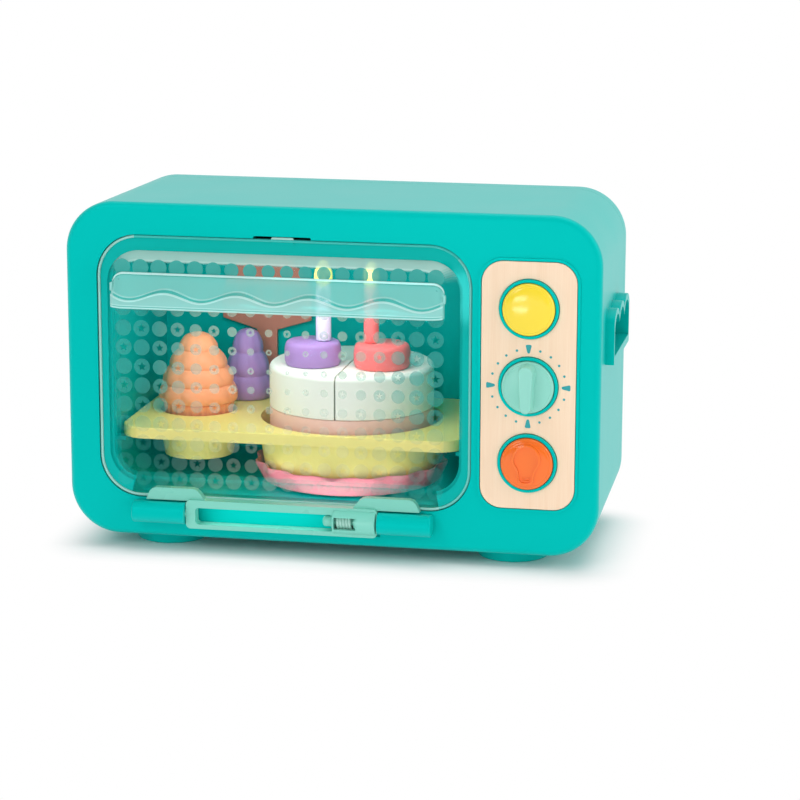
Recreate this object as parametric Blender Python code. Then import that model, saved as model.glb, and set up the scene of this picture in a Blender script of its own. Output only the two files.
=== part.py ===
"""A child's countertop toy oven: its mouldings, its working inside and its play food.

The oven's own frame has x across the housing from its middle, y back from the front face
and z up from the housing's underside. One empty carries that frame, and stands the oven on
its feet with the middle of its outline over the world's origin. Lengths are in metres.
"""

import math

import bmesh
import bpy
from mathutils import Vector

for leftover in list(bpy.data.objects):
    bpy.data.objects.remove(leftover)

# Gaps and drawing steps
SEAT_GAP = 0.0003
RUNNING_GAP = 0.0004
OVERRUN = 0.004
SINK = 0.0008
CORNER_STEPS = 5
ROUND_STEPS = 26
MIDDLE_ROUND_STEPS = 18
SMALL_ROUND_STEPS = 10
FINE_STEPS = 8
EDGE_STEPS = 2
SHARP_ANGLE = math.radians(35)
QUARTER_TURN = math.radians(90)

# Housing
WIDTH = 0.290
HEIGHT = 0.183
DEPTH = 0.127
DRAFT = 0.0022
CORNER_RADIUS = 0.027
FRONT_EDGE_RADIUS = 0.0035
WALL = 0.0026
REAR_COVER_DEPTH = 0.014
COVER_LIP_LENGTH = 0.003
COVER_LIP_WALL = 0.0014

# Feet
FOOT_HEIGHT = 0.007
FOOT_RADIUS = 0.0203
FOOT_TAPER = 0.0008
FOOT_EDGE_RADIUS = 0.0012
FOOT_SIDE_MARGIN = 0.0495
FOOT_MARGIN = 0.0095
FOOT_PEG_RADIUS = 0.004
FOOT_PEG_RISE = 0.0045

# Screws and the posts they run into
POST_RADIUS = 0.0042
POST_MARGIN_X = 0.0155
POST_MARGIN_Z = 0.0155
SCREW_RADIUS = 0.0013
SCREW_LENGTH = 0.009
SCREW_HEAD_RADIUS = 0.0028
SCREW_HEAD_HEIGHT = 0.0019
SCREW_SLOT_WIDTH = 0.0008
SCREW_WELL_RADIUS = 0.0034
SCREW_WELL_WALL = 0.0016
SCREW_WELL_FLOOR = 0.0022

# Door recess in the front face, and the latch notch in its top edge
RECESS_LEFT_MARGIN = 0.0172
RECESS_RIGHT_MARGIN = 0.0683
RECESS_BOTTOM = 0.0215
RECESS_HEIGHT = 0.1443
RECESS_RADIUS = 0.023
RECESS_DEPTH = 0.0045
LEDGE = 0.0045
LEDGE_FOOT = 0.001
LATCH_NOTCH_WIDTH = 0.0315
LATCH_NOTCH_RISE = 0.0013
LATCH_NOTCH_DEPTH = 0.0038

# Hinge line below the door
HINGE_HEIGHT = 0.0149
HINGE_STANDOFF = 0.0047
BARREL_RADIUS = 0.006
BARREL_LENGTH = 0.0292
BARREL_CHAMFER = 0.0008
YOKE_LENGTH = 0.1054
TROUGH_RADIUS = 0.0101
PIN_RADIUS = 0.002

# Door yoke, the carrier between the barrels
YOKE_DROP = 0.0079
YOKE_BAND_TOP = 0.0227
YOKE_FRONT = 0.0064
YOKE_CHEEK = 0.0048
YOKE_RAIL_DEPTH = 0.0032
SLOT_TOP = 0.0182
SLOT_BOTTOM = 0.0094
SHOULDER_LIFT = 0.0284
SHOULDER_INNER_REACH = 0.0115
SHOULDER_OUTER_REACH = 0.0226
SHOULDER_FRONT = 0.0042
SHOULDER_CLEARANCE = 0.0008
SHOULDER_PEAK_SHARE = 0.42
HOUSING_RADIUS = 0.0066
HOUSING_BLOCK = 0.0108
SPRING_CAGE = 0.0132
CAGE_WALL = 0.0011

# Release pin and its spring
NUB_RADIUS = 0.0029
NUB_LENGTH = 0.0055
PIN_COLLAR_RADIUS = 0.0042
PIN_COLLAR_LENGTH = 0.0012
PIN_TRAVEL = 0.005
PIN_SPRING_RADIUS = 0.0036
PIN_SPRING_WIRE = 0.00045
PIN_SPRING_TURNS = 5
COIL_STEPS = 8
COIL_SMOOTHNESS = 0

# Door window
DOOR_CLEARANCE = 0.0007
FLANGE_WIDTH = 0.0048
FLANGE_FOOT_WIDTH = 0.0074
FLANGE_THICKNESS = 0.0024
RIM_WIDTH = 0.0014
RIM_RISE = 0.0012
BULGE_REACH = 0.0115
BULGE_SLOPE = 0.0072
BULGE_TOP_SLOPE = 0.006
BULGE_RADIUS = 0.018
BULGE_FRONT_RADIUS = 0.0125
BULGE_EDGE_RADIUS = 0.0026
WINDOW_WALL = 0.0017
LATCH_TAB_WIDTH = 0.012
LATCH_TAB_RISE = 0.0007
LATCH_TAB_THICKNESS = 0.0018

# Door handle
HANDLE_SIDE_MARGIN = 0.01105
HANDLE_DROP = 0.0182
HANDLE_HEIGHT = 0.0184
HANDLE_LIP_DROP = 0.0081
HANDLE_REACH = 0.0092
HANDLE_END_LENGTH = 0.009
HANDLE_SKIN = 0.0016
HANDLE_EDGE_RADIUS = 0.0018
HANDLE_STEP = 0.0007
HANDLE_END_SHARE = 0.9
HANDLE_SLOPE_SHARE = 0.9
WAVE_LENGTH = 0.0385
WAVE_HEIGHT = 0.0029
WAVE_DROP = 0.0064
WAVE_CREST = -0.0875
STATIONS_PER_WAVE = 8

# Oven cavity
CAVITY_WALL = 0.0018
CAVITY_FLANGE = 0.003
CAVITY_BACK_CLEARANCE = 0.0055
CAVITY_DRAFT = 0.0012
RAIL_REACH = 0.0062
RAIL_THICKNESS = 0.002
RAIL_FRONT = 0.014
RAIL_LENGTH = 0.094
RAIL_HEIGHT = 0.0495
LAMP_RADIUS = 0.006
LAMP_DEPTH_IN = 0.046
LAMP_HEIGHT = 0.132
LAMP_LENS_WALL = 0.0012
LAMP_LENS_RISE = 0.0022
LAMP_TUBE_LENGTH = 0.008
LED_RADIUS = 0.0025
LED_LENGTH = 0.006

# Control panel and its three stations
PANEL_WIDTH = 0.0503
PANEL_HEIGHT = 0.1325
PANEL_RADIUS = 0.0115
PANEL_MARGIN = 0.013
PANEL_BOTTOM = 0.0261
PANEL_THICKNESS = 0.0015
PANEL_SEAT = 0.0012
BORDER_WIDTH = 0.0018
BORDER_RISE = 0.0007
CONTROL_PITCH = 0.0413
COLLAR_RADIUS = 0.0158
COLLAR_WALL = 0.0015
COLLAR_RISE = 0.0023
GUIDE_LENGTH = 0.0075

# Buttons
BUTTON_RISE = 0.0035
BUTTON_DOME = 0.0032
BUTTON_EDGE_RADIUS = 0.0016
CROWN_FLAT_SHARE = 0.12
BUTTON_SKIN = 0.0016
BUTTON_STEM_RADIUS = 0.0024
BUTTON_FLANGE = 0.0014
BUTTON_STROKE = 0.0025
BUTTON_SPRING_RADIUS = 0.0058
BUTTON_SPRING_WIRE = 0.0004
BUTTON_SPRING_TURNS = 4
BULB_RELIEF = 0.0009
BULB_RADIUS = 0.0062
BULB_NECK_RADIUS = 0.0027
BULB_LENGTH = 0.0172

# Timer knob, its click wheel and leaf
KNOB_RISE = 0.0035
KNOB_EDGE_RADIUS = 0.0014
GRIP_BAR_REACH = 0.0062
GRIP_BAR_WIDTH = 0.0084
GRIP_BAR_TIP_WIDTH = 0.0062
GRIP_BAR_DRAFT = 0.0012
KNOB_FLOOR = 0.0016
KNOB_SHAFT_RADIUS = 0.003
CLICK_WHEEL_RADIUS = 0.0085
CLICK_WHEEL_WAVE = 0.0007
CLICK_WHEEL_LENGTH = 0.003
CLICK_COUNT = 12
LEAF_THICKNESS = 0.0005
LEAF_WIDTH = 0.0026
LEAF_LENGTH = 0.016

# Circuit board and switches
BOARD_DEPTH_IN = 0.0208
BOARD_THICKNESS = 0.0016
BOARD_WIDTH = 0.034
BOARD_HEIGHT = 0.106
BOARD_RADIUS = 0.003
BOARD_POST_RADIUS = 0.0024
BOARD_PEG_RADIUS = 0.0012
BOARD_PEG_RISE = 0.0032
SWITCH_SIDE = 0.006
SWITCH_HEIGHT = 0.0028
SWITCH_PLUNGER_RADIUS = 0.0017
SWITCH_PLUNGER_RISE = 0.0009
ROTARY_SIDE = 0.012
ROTARY_HEIGHT = 0.0045

# Battery box, its cover, cells and contacts
CELL_RADIUS = 0.00715
CELL_LENGTH = 0.050
CELL_TIP_RADIUS = 0.0027
CELL_TIP_LENGTH = 0.0012
CELL_EDGE = 0.0006
CELL_PITCH = 0.0152
BATTERY_MARGIN = 0.0415
BATTERY_BOTTOM = 0.024
BATTERY_BOX_WALL = 0.0018
CONTACT_THICKNESS = 0.0006
CONTACT_WIDTH = 0.009
CONTACT_ROOM = 0.0016
BATTERY_COVER_THICKNESS = 0.0032
BATTERY_COVER_RADIUS = 0.003
BATTERY_COVER_LAP = 0.0026
COVER_TAB_HEIGHT = 0.009

# Speaker and its grille
SPEAKER_RADIUS = 0.018
SPEAKER_DEPTH = 0.0105
SPEAKER_MAGNET_RADIUS = 0.009
SPEAKER_RIM = 0.0026
SPEAKER_CONE_DEPTH = 0.004
SPEAKER_HEIGHT = 0.127
SPEAKER_RING_WALL = 0.0014
SPEAKER_RING_LENGTH = 0.007
GRILLE_SLOT_COUNT = 5
GRILLE_SLOT_WIDTH = 0.0018
GRILLE_SLOT_PITCH = 0.0048

# Side finger grip
GRIP_FRONT = 0.016
GRIP_LENGTH = 0.088
GRIP_BOTTOM = 0.1055
GRIP_SIDE_HEIGHT = 0.0165
GRIP_ARCH_RISE = 0.0115
GRIP_SCALLOP = 0.0026
GRIP_SCALLOP_COUNT = 4
GRIP_RISE = 0.0044
GRIP_POCKET_DEPTH = 0.0165
GRIP_WALL = 0.0022
GRIP_ARCH_STEPS = 16

# Tray with a cup well and a round pan
TRAY_SIDE_ROOM = 0.00275
TRAY_LENGTH = 0.107
TRAY_RADIUS = 0.026
TRAY_THICKNESS = 0.0018
TRAY_SKIRT = 0.0062
TRAY_FRONT = 0.002
PAN_EDGE = 0.003
PAN_DEPTH = 0.0235
PAN_TAPER = 0.0035
PAN_MARGIN_SHARE = 0.1067
CUP_SHARE = 0.2382
CUP_DEPTH = 0.0215
CUP_TAPER = 0.0038
CUP_MARGIN_SHARE = 0.118

# Play food
CAKE_CLEARANCE = 0.005
CAKE_LAYER_HEIGHT = 0.030
CAKE_HEIGHT = 0.0235
CAKE_EDGE_RADIUS = 0.003
CAKE_CUT = 0.0009
CUPCAKE_CLEARANCE = 0.0009
CUPCAKE_NECK_CLEARANCE = 0.0014
CUPCAKE_RIM_LAP = 0.0006
CUPCAKE_TIP_RADIUS = 0.0055
CUPCAKE_CASE_HEIGHT = 0.0235
CUPCAKE_TOP_HEIGHT = 0.042
SWIRL_ROLLS = 3
SWIRL_STEPS = 3
SWIRL_BULGE = 0.0012
LOOSE_SWIRL_RADIUS = 0.014
LOOSE_SWIRL_HEIGHT = 0.040
LOOSE_SWIRL_BACK_MARGIN = 0.0051
LOOSE_SWIRL_SHIFT = 0.0141
LOOSE_SWIRL_SHIFT_SHARE = 1.6
TOPPING_SHARE = 0.343
TOPPING_HEIGHT = 0.013
TOPPING_CROWN_SHARE = 0.9
TOPPING_SPREAD_SHARE = 0.426
TOPPING_FORWARD_SHARE = 0.264
CANDLE_SHIFT = 0.006
CANDLE_RADIUS = 0.0042
CANDLE_HEADROOM = 0.0143
FLAME_RADIUS = 0.0052
FLAME_LENGTH = 0.0145
PLATE_RADIUS = 0.0515
PLATE_FOOT_RADIUS = 0.036
PLATE_HEIGHT = 0.0080
PLATE_WALL = 0.0018
PLATE_SCALLOP = 0.0016
PLATE_SCALLOP_COUNT = 16
SERVER_HEADROOM = 0.023
SERVER_WIDTH_SHARE = 0.2737
SERVER_OFFSET_SHARE = 0.1895
SERVER_THICKNESS = 0.0028
SERVER_HANDLE_WIDTH = 0.012
SERVER_HANDLE_SHARE = 0.45

# Colours, as red, green and blue out of 255
TEAL = (2, 198, 189)
DARK_TEAL = (0, 150, 145)
AQUA = (150, 226, 220)
MINT = (128, 216, 198)
MAPLE = (251, 222, 190)
YELLOW = (247, 226, 76)
ORANGE = (247, 125, 48)
KNOB_MINT = (150, 218, 202)
BUTTER = (240, 232, 150)
CREAM = (246, 244, 232)
PINK = (236, 110, 140)
PEACH = (250, 150, 110)
CORAL = (245, 105, 110)
LILAC = (170, 120, 200)
LAVENDER = (222, 208, 238)
RUST = (214, 96, 72)
STEEL = (190, 194, 198)
BOARD_GREEN = (20, 110, 70)
BLACK = (30, 32, 34)

# Places that follow from the sizes above
SHELL_DEPTH = DEPTH - REAR_COVER_DEPTH
FOOT_SPACING = WIDTH - 2 * FOOT_SIDE_MARGIN
RECESS_WIDTH = WIDTH - RECESS_LEFT_MARGIN - RECESS_RIGHT_MARGIN
RECESS_CENTRE_X = RECESS_LEFT_MARGIN + (RECESS_WIDTH - WIDTH) / 2
RECESS_CENTRE_Z = RECESS_BOTTOM + RECESS_HEIGHT / 2
MOUTH_WIDTH = RECESS_WIDTH - 2 * LEDGE
MOUTH_HEIGHT = RECESS_HEIGHT - LEDGE - LEDGE_FOOT
MOUTH_RADIUS = RECESS_RADIUS - LEDGE
MOUTH_CENTRE_Z = RECESS_CENTRE_Z + (LEDGE_FOOT - LEDGE) / 2
MOUTH_TOP = MOUTH_CENTRE_Z + MOUTH_HEIGHT / 2
HINGE_POINT = (RECESS_CENTRE_X, -HINGE_STANDOFF, HINGE_HEIGHT)
YOKE_LEFT = RECESS_CENTRE_X - YOKE_LENGTH / 2
YOKE_RIGHT = YOKE_LEFT + YOKE_LENGTH
TROUGH_LEFT = YOKE_LEFT - RUNNING_GAP
TROUGH_RIGHT = YOKE_RIGHT + RUNNING_GAP
FLANGE_BACK = RECESS_DEPTH - SEAT_GAP
FLANGE_FRONT = FLANGE_BACK - FLANGE_THICKNESS
BULGE_FRONT = -BULGE_REACH
FLANGE_WIDE = RECESS_WIDTH - 2 * DOOR_CLEARANCE
FLANGE_HIGH = RECESS_HEIGHT - 2 * DOOR_CLEARANCE
BULGE_WIDE = FLANGE_WIDE - 2 * FLANGE_WIDTH
BULGE_HIGH = FLANGE_HIGH - FLANGE_WIDTH - FLANGE_FOOT_WIDTH
BULGE_CENTRE_Z = RECESS_CENTRE_Z + (FLANGE_FOOT_WIDTH - FLANGE_WIDTH) / 2
HANDLE_LENGTH = FLANGE_WIDE - 2 * HANDLE_SIDE_MARGIN
HANDLE_TOP = RECESS_BOTTOM + RECESS_HEIGHT - HANDLE_DROP
HANDLE_LIP_TOP = HANDLE_TOP - HANDLE_LIP_DROP
HANDLE_BOTTOM = HANDLE_TOP - HANDLE_HEIGHT
WAVE_LINE = HANDLE_TOP - WAVE_DROP
HANDLE_FRONT = BULGE_FRONT - SEAT_GAP - HANDLE_REACH
PIN_REACH = PIN_TRAVEL - SEAT_GAP
CAGE_LEFT = YOKE_RIGHT - HOUSING_BLOCK - SPRING_CAGE
BLOCK_LEFT = YOKE_RIGHT - HOUSING_BLOCK
PANEL_CENTRE_X = WIDTH / 2 - PANEL_MARGIN - PANEL_WIDTH / 2
PANEL_CENTRE_Z = PANEL_BOTTOM + PANEL_HEIGHT / 2
STATION_HEIGHTS = [PANEL_CENTRE_Z + row * CONTROL_PITCH for row in (1, 0, -1)]
COLLAR_BORE = COLLAR_RADIUS - COLLAR_WALL
BUTTON_RADIUS = COLLAR_BORE - RUNNING_GAP
CAVITY_FRONT = RECESS_DEPTH + WALL + SEAT_GAP
CAVITY_BACK = DEPTH - WALL - CAVITY_BACK_CLEARANCE
CAVITY_FLOOR = RECESS_BOTTOM + LEDGE_FOOT
BATTERY_CENTRE_X = WIDTH / 2 - BATTERY_MARGIN
BATTERY_CENTRE_Z = BATTERY_BOTTOM + CELL_LENGTH / 2 + CONTACT_ROOM + BATTERY_BOX_WALL
BATTERY_ROOM_WIDTH = CELL_PITCH + 2 * CELL_RADIUS + 2 * RUNNING_GAP
BATTERY_ROOM_HEIGHT = CELL_LENGTH + CELL_TIP_LENGTH + 2 * CONTACT_ROOM
BATTERY_ROOM_DEPTH = 2 * CELL_RADIUS + 2 * RUNNING_GAP + BATTERY_COVER_THICKNESS
TRAY_WIDTH = MOUTH_WIDTH - 2 * TRAY_SIDE_ROOM
TRAY_TOP = RAIL_HEIGHT + RAIL_THICKNESS + SEAT_GAP + TRAY_SKIRT
TRAY_CENTRE_Y = CAVITY_FRONT + TRAY_FRONT + TRAY_LENGTH / 2
PAN_RADIUS = TRAY_LENGTH / 2 - PAN_EDGE
BESIDE_PAN = TRAY_WIDTH - 2 * PAN_RADIUS
PAN_MARGIN = PAN_MARGIN_SHARE * BESIDE_PAN
CUP_RADIUS = CUP_SHARE * BESIDE_PAN
CUP_MARGIN = CUP_MARGIN_SHARE * BESIDE_PAN
PAN_CENTRE_X = RECESS_CENTRE_X + TRAY_WIDTH / 2 - PAN_MARGIN - PAN_RADIUS - CUP_MARGIN
CUP_CENTRE_X = RECESS_CENTRE_X - TRAY_WIDTH / 2 + CUP_MARGIN + CUP_RADIUS
PAN_FLOOR = TRAY_TOP - PAN_DEPTH
CUP_FLOOR = TRAY_TOP - CUP_DEPTH
CAKE_FOOT = PAN_FLOOR + SEAT_GAP
CAKE_SEAM = CAKE_FOOT + CAKE_LAYER_HEIGHT + SEAT_GAP
CAKE_TOP = CAKE_SEAM + CAKE_HEIGHT
CAKE_RADIUS = PAN_RADIUS - CAKE_CLEARANCE
TOPPING_RADIUS = TOPPING_SHARE * CAKE_RADIUS
TOPPING_SPREAD = TOPPING_SPREAD_SHARE * CAKE_RADIUS
TOPPING_FORWARD = TOPPING_FORWARD_SHARE * CAKE_RADIUS
CANDLE_FOOT = CAKE_TOP + TOPPING_HEIGHT + 2 * SEAT_GAP
CANDLE_LENGTH = MOUTH_TOP - CANDLE_HEADROOM - FLAME_LENGTH - SEAT_GAP - CANDLE_FOOT
CUPCAKE_RADIUS = CUP_RADIUS - CUP_TAPER - CUPCAKE_CLEARANCE
CUPCAKE_NECK_RADIUS = CUP_RADIUS - CUPCAKE_NECK_CLEARANCE
CUPCAKE_RIM_RADIUS = CUP_RADIUS + CUPCAKE_RIM_LAP
SERVER_FOOT = TRAY_TOP + SEAT_GAP
SERVER_LENGTH = MOUTH_TOP - SERVER_HEADROOM - SERVER_FOOT
SERVER_WIDTH = SERVER_WIDTH_SHARE * TRAY_WIDTH
SERVER_OFFSET = SERVER_OFFSET_SHARE * TRAY_WIDTH


# Small helpers


def evenly(start, end, count):
    """Count + 1 values from start to end."""
    return [start + (end - start) * step / count for step in range(count + 1)]


def arc(centre, radius, start, end, steps):
    """Points of an arc in a plane, between two angles in radians."""
    return [
        (centre[0] + radius * math.cos(angle), centre[1] + radius * math.sin(angle))
        for angle in evenly(start, end, steps)
    ]


def rounded(width, height, radius, centre=(0, 0), steps=CORNER_STEPS):
    """Outline of a rectangle with rounded corners."""
    reach = (width / 2 - radius, height / 2 - radius)
    outline = []
    for turn, side in enumerate(((1, 1), (-1, 1), (-1, -1), (1, -1))):
        corner = (centre[0] + side[0] * reach[0], centre[1] + side[1] * reach[1])
        outline += arc(corner, radius, turn * QUARTER_TURN, (turn + 1) * QUARTER_TURN, steps)
    return outline


def at_y(outline, y):
    """An (x, z) outline set at depth y."""
    return [(x, y, z) for x, z in outline]


def at_x(outline, x):
    """A (y, z) outline set at x."""
    return [(x, y, z) for y, z in outline]


def at_z(outline, z):
    """An (x, y) outline set at height z."""
    return [(x, y, z) for x, y in outline]


def loft(rings, ring_closed=False):
    """A closed body through rings of equally many points, with its ends capped or joined."""
    mesh = bmesh.new()
    loops = [[mesh.verts.new(point) for point in ring] for ring in rings]
    pairs = list(zip(loops, loops[1:]))
    if ring_closed:
        pairs.append((loops[-1], loops[0]))
    else:
        mesh.faces.new(loops[0])
        mesh.faces.new(loops[-1])
    for near, far in pairs:
        for index in range(len(near)):
            mesh.faces.new((near[index - 1], near[index], far[index], far[index - 1]))
    bmesh.ops.recalc_face_normals(mesh, faces=mesh.faces)
    return mesh


def plate(outline, front, back):
    """An (x, z) outline with thickness along y."""
    return loft([at_y(outline, front), at_y(outline, back)])


def slab(outline, bottom, top):
    """An (x, y) outline with thickness along z."""
    return loft([at_z(outline, bottom), at_z(outline, top)])


def beam(outline, left, right):
    """A (y, z) outline with length along x."""
    return loft([at_x(outline, left), at_x(outline, right)])


def box(left, right, front, back, bottom, top):
    """A plain block between six planes."""
    outline = [(left, bottom), (right, bottom), (right, top), (left, top)]
    return plate(outline, front, back)


def turned(profile, axis, centre, steps=ROUND_STEPS, ring_closed=False):
    """A turned body: profile holds (radius, distance along the axis from the centre)."""
    along = Vector([letter == axis for letter in "XYZ"])
    across = along.orthogonal().normalized()
    upward = along.cross(across)
    angles = evenly(0, 4 * QUARTER_TURN, steps)[:-1]
    rings = [
        [
            Vector(centre) + along * distance + (across * math.cos(turn) + upward * math.sin(turn)) * radius
            for turn in angles
        ]
        for radius, distance in profile
    ]
    return loft(rings, ring_closed)


def rod(radius, start, end, axis, centre, steps=ROUND_STEPS):
    """A cylinder between two distances along its axis."""
    return turned([(radius, start), (radius, end)], axis, centre, steps)


def peg(radius, start, end, axis, centre):
    """A thin rod, with fewer sides."""
    return rod(radius, start, end, axis, centre, SMALL_ROUND_STEPS)


def finish(name, colour, roughness, metallic=0, alpha=1):
    """The material of a sub-part, made once for each name."""
    material = bpy.data.materials.get(name) or bpy.data.materials.new(name)
    material.use_nodes = True
    shader = material.node_tree.nodes["Principled BSDF"]
    linear = [(level / 255) ** 2.2 for level in colour]
    shader.inputs["Base Color"].default_value = (*linear, 1)
    shader.inputs["Roughness"].default_value = roughness
    shader.inputs["Metallic"].default_value = metallic
    shader.inputs["Alpha"].default_value = alpha
    material.diffuse_color = (*linear, alpha)
    return material


def place(name, mesh, parent, origin=(0, 0, 0)):
    """An object from a mesh drawn in the oven's frame, with its own origin at the point given."""
    bmesh.ops.translate(mesh, verts=mesh.verts, vec=-Vector(origin))
    data = bpy.data.meshes.new(name)
    mesh.to_mesh(data)
    mesh.free()
    data.shade_smooth()
    data.set_sharp_from_angle(angle=SHARP_ANGLE)
    item = bpy.data.objects.new(name, data)
    bpy.context.scene.collection.objects.link(item)
    item.parent = parent
    item.location = Vector(origin) - frame_origin(parent)
    return item


def frame_origin(parent):
    """Where a parent empty stands in the oven's frame."""
    return Vector((0, 0, 0)) if parent == OVEN else frame_origin(parent.parent) + parent.location


def part(name, mesh, material, parent, origin=(0, 0, 0)):
    """A sub-part that shows, with its material."""
    item = place(name, mesh, parent, origin)
    item.data.materials.append(material)
    return item


def shape(item, operation, meshes):
    """Joins shapes to a sub-part or cuts them from it, in order, with hidden tools."""
    for number, mesh in enumerate(meshes):
        tool = place(f"{item.name} {operation.lower()} {len(item.modifiers)}", mesh, OVEN)
        tool.hide_render = True
        tool.display_type = "WIRE"
        step = item.modifiers.new(f"{operation.title()} {number + 1}", "BOOLEAN")
        step.operation = operation
        step.object = tool


def join(item, *meshes):
    """Adds shapes to a sub-part."""
    shape(item, "UNION", meshes)


def cut(item, *meshes):
    """Takes shapes from a sub-part."""
    shape(item, "DIFFERENCE", meshes)


def coil(name, radius, wire, turns, start, end, axis, centre, material, parent, origin):
    """A coil spring between two distances along its axis, drawn as a round wire."""
    along = Vector([letter == axis for letter in "XYZ"])
    across = along.orthogonal().normalized()
    upward = along.cross(across)
    curve = bpy.data.curves.new(name, "CURVE")
    curve.dimensions = "3D"
    curve.bevel_depth = wire
    curve.bevel_resolution = COIL_SMOOTHNESS
    curve.use_fill_caps = True
    count = turns * COIL_STEPS
    line = curve.splines.new("POLY")
    line.points.add(count)
    for index, distance in enumerate(evenly(start + wire, end - wire, count)):
        turn = 4 * QUARTER_TURN * index / COIL_STEPS
        spoke = (across * math.cos(turn) + upward * math.sin(turn)) * radius
        point = Vector(centre) + along * distance + spoke - Vector(origin)
        line.points[index].co = (*point, 1)
    item = bpy.data.objects.new(name, curve)
    bpy.context.scene.collection.objects.link(item)
    item.parent = parent
    item.location = Vector(origin) - frame_origin(parent)
    curve.materials.append(material)
    return item


def empty(name, origin, parent):
    """A joint's frame in the oven, which carries the pieces that move with it."""
    item = bpy.data.objects.new(name, None)
    bpy.context.scene.collection.objects.link(item)
    item.parent = parent
    item.location = Vector(origin) - frame_origin(parent)
    return item


# Housing


def housing_ring(y, inset):
    """The housing's outline at depth y, drawn in by the mould's draft and by an inset."""
    drawn = DRAFT * y / DEPTH
    width = WIDTH - 2 * drawn - 2 * inset
    height = HEIGHT - drawn - 2 * inset
    return at_y(rounded(width, height, CORNER_RADIUS - inset, (0, (HEIGHT - drawn) / 2)), y)


def edge_rings(y_face, toward, radius):
    """Rings that round the housing's edge from a flat face to its sides."""
    angles = evenly(0, QUARTER_TURN, EDGE_STEPS)
    return [
        housing_ring(y_face + toward * radius * (1 - math.cos(turn)), radius * (1 - math.sin(turn)))
        for turn in angles
    ]


def post_places():
    """The four points across the housing where screws hold the rear cover."""
    for x in (POST_MARGIN_X - WIDTH / 2, WIDTH / 2 - POST_MARGIN_X):
        for z in (POST_MARGIN_Z, HEIGHT - POST_MARGIN_Z):
            yield (x, 0, z)


def foot_places():
    """Where the feet meet the underside."""
    rear = SHELL_DEPTH - FOOT_MARGIN - FOOT_RADIUS
    for row, y in (("front", FOOT_MARGIN + FOOT_RADIUS), ("rear", rear)):
        for side, x in (("left", -FOOT_SPACING / 2), ("right", FOOT_SPACING / 2)):
            yield f"foot_{row}_{side}", (x, y, 0)


def grip_outline(margin):
    """The finger grip's opening as (y, z): a flat ledge, upright ends and a scalloped arch."""
    front = GRIP_FRONT - margin
    back = GRIP_FRONT + GRIP_LENGTH + margin
    shoulder = GRIP_BOTTOM + GRIP_SIDE_HEIGHT
    outline = [(front, GRIP_BOTTOM - margin), (back, GRIP_BOTTOM - margin)]
    for share in evenly(1, 0, GRIP_ARCH_STEPS):
        arch = GRIP_ARCH_RISE * math.sin(2 * QUARTER_TURN * share)
        finger = abs(math.sin(2 * QUARTER_TURN * GRIP_SCALLOP_COUNT * share))
        outline.append((front + (back - front) * share, shoulder + arch + GRIP_SCALLOP * finger + margin))
    return outline


def trough_outline(radius):
    """The round trough's section behind the front face, as (y, z)."""
    reach = math.acos((HINGE_STANDOFF + SINK) / radius)
    return arc((-HINGE_STANDOFF, HINGE_HEIGHT), radius, -reach, reach, ROUND_STEPS // 2)


def recess_outline(margin):
    """The door recess's outline, grown by a margin."""
    return rounded(
        RECESS_WIDTH + 2 * margin,
        RECESS_HEIGHT + 2 * margin,
        RECESS_RADIUS + margin,
        (RECESS_CENTRE_X, RECESS_CENTRE_Z),
    )


def mouth_outline(margin):
    """The cavity's mouth behind the recess, grown by a margin."""
    return rounded(
        MOUTH_WIDTH + 2 * margin,
        MOUTH_HEIGHT + 2 * margin,
        MOUTH_RADIUS + margin,
        (RECESS_CENTRE_X, MOUTH_CENTRE_Z),
    )


def panel_outline(margin):
    """The control panel's outline, grown by a margin."""
    return rounded(
        PANEL_WIDTH + 2 * margin,
        PANEL_HEIGHT + 2 * margin,
        PANEL_RADIUS + margin,
        (PANEL_CENTRE_X, PANEL_CENTRE_Z),
    )


def hinge_barrels():
    """One round bar across both barrels; the trough parts it in two."""
    left = YOKE_LEFT - RUNNING_GAP - BARREL_LENGTH
    right = YOKE_RIGHT + RUNNING_GAP + BARREL_LENGTH
    profile = [
        (BARREL_RADIUS - BARREL_CHAMFER, left),
        (BARREL_RADIUS, left + BARREL_CHAMFER),
        (BARREL_RADIUS, right - BARREL_CHAMFER),
        (BARREL_RADIUS - BARREL_CHAMFER, right),
    ]
    return turned(profile, "X", (0, *HINGE_POINT[1:]), MIDDLE_ROUND_STEPS)


def board_post_heights():
    """The two posts that carry the circuit board stand between the three controls."""
    return [PANEL_CENTRE_Z + CONTROL_PITCH / 2, PANEL_CENTRE_Z - CONTROL_PITCH / 2]


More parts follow.
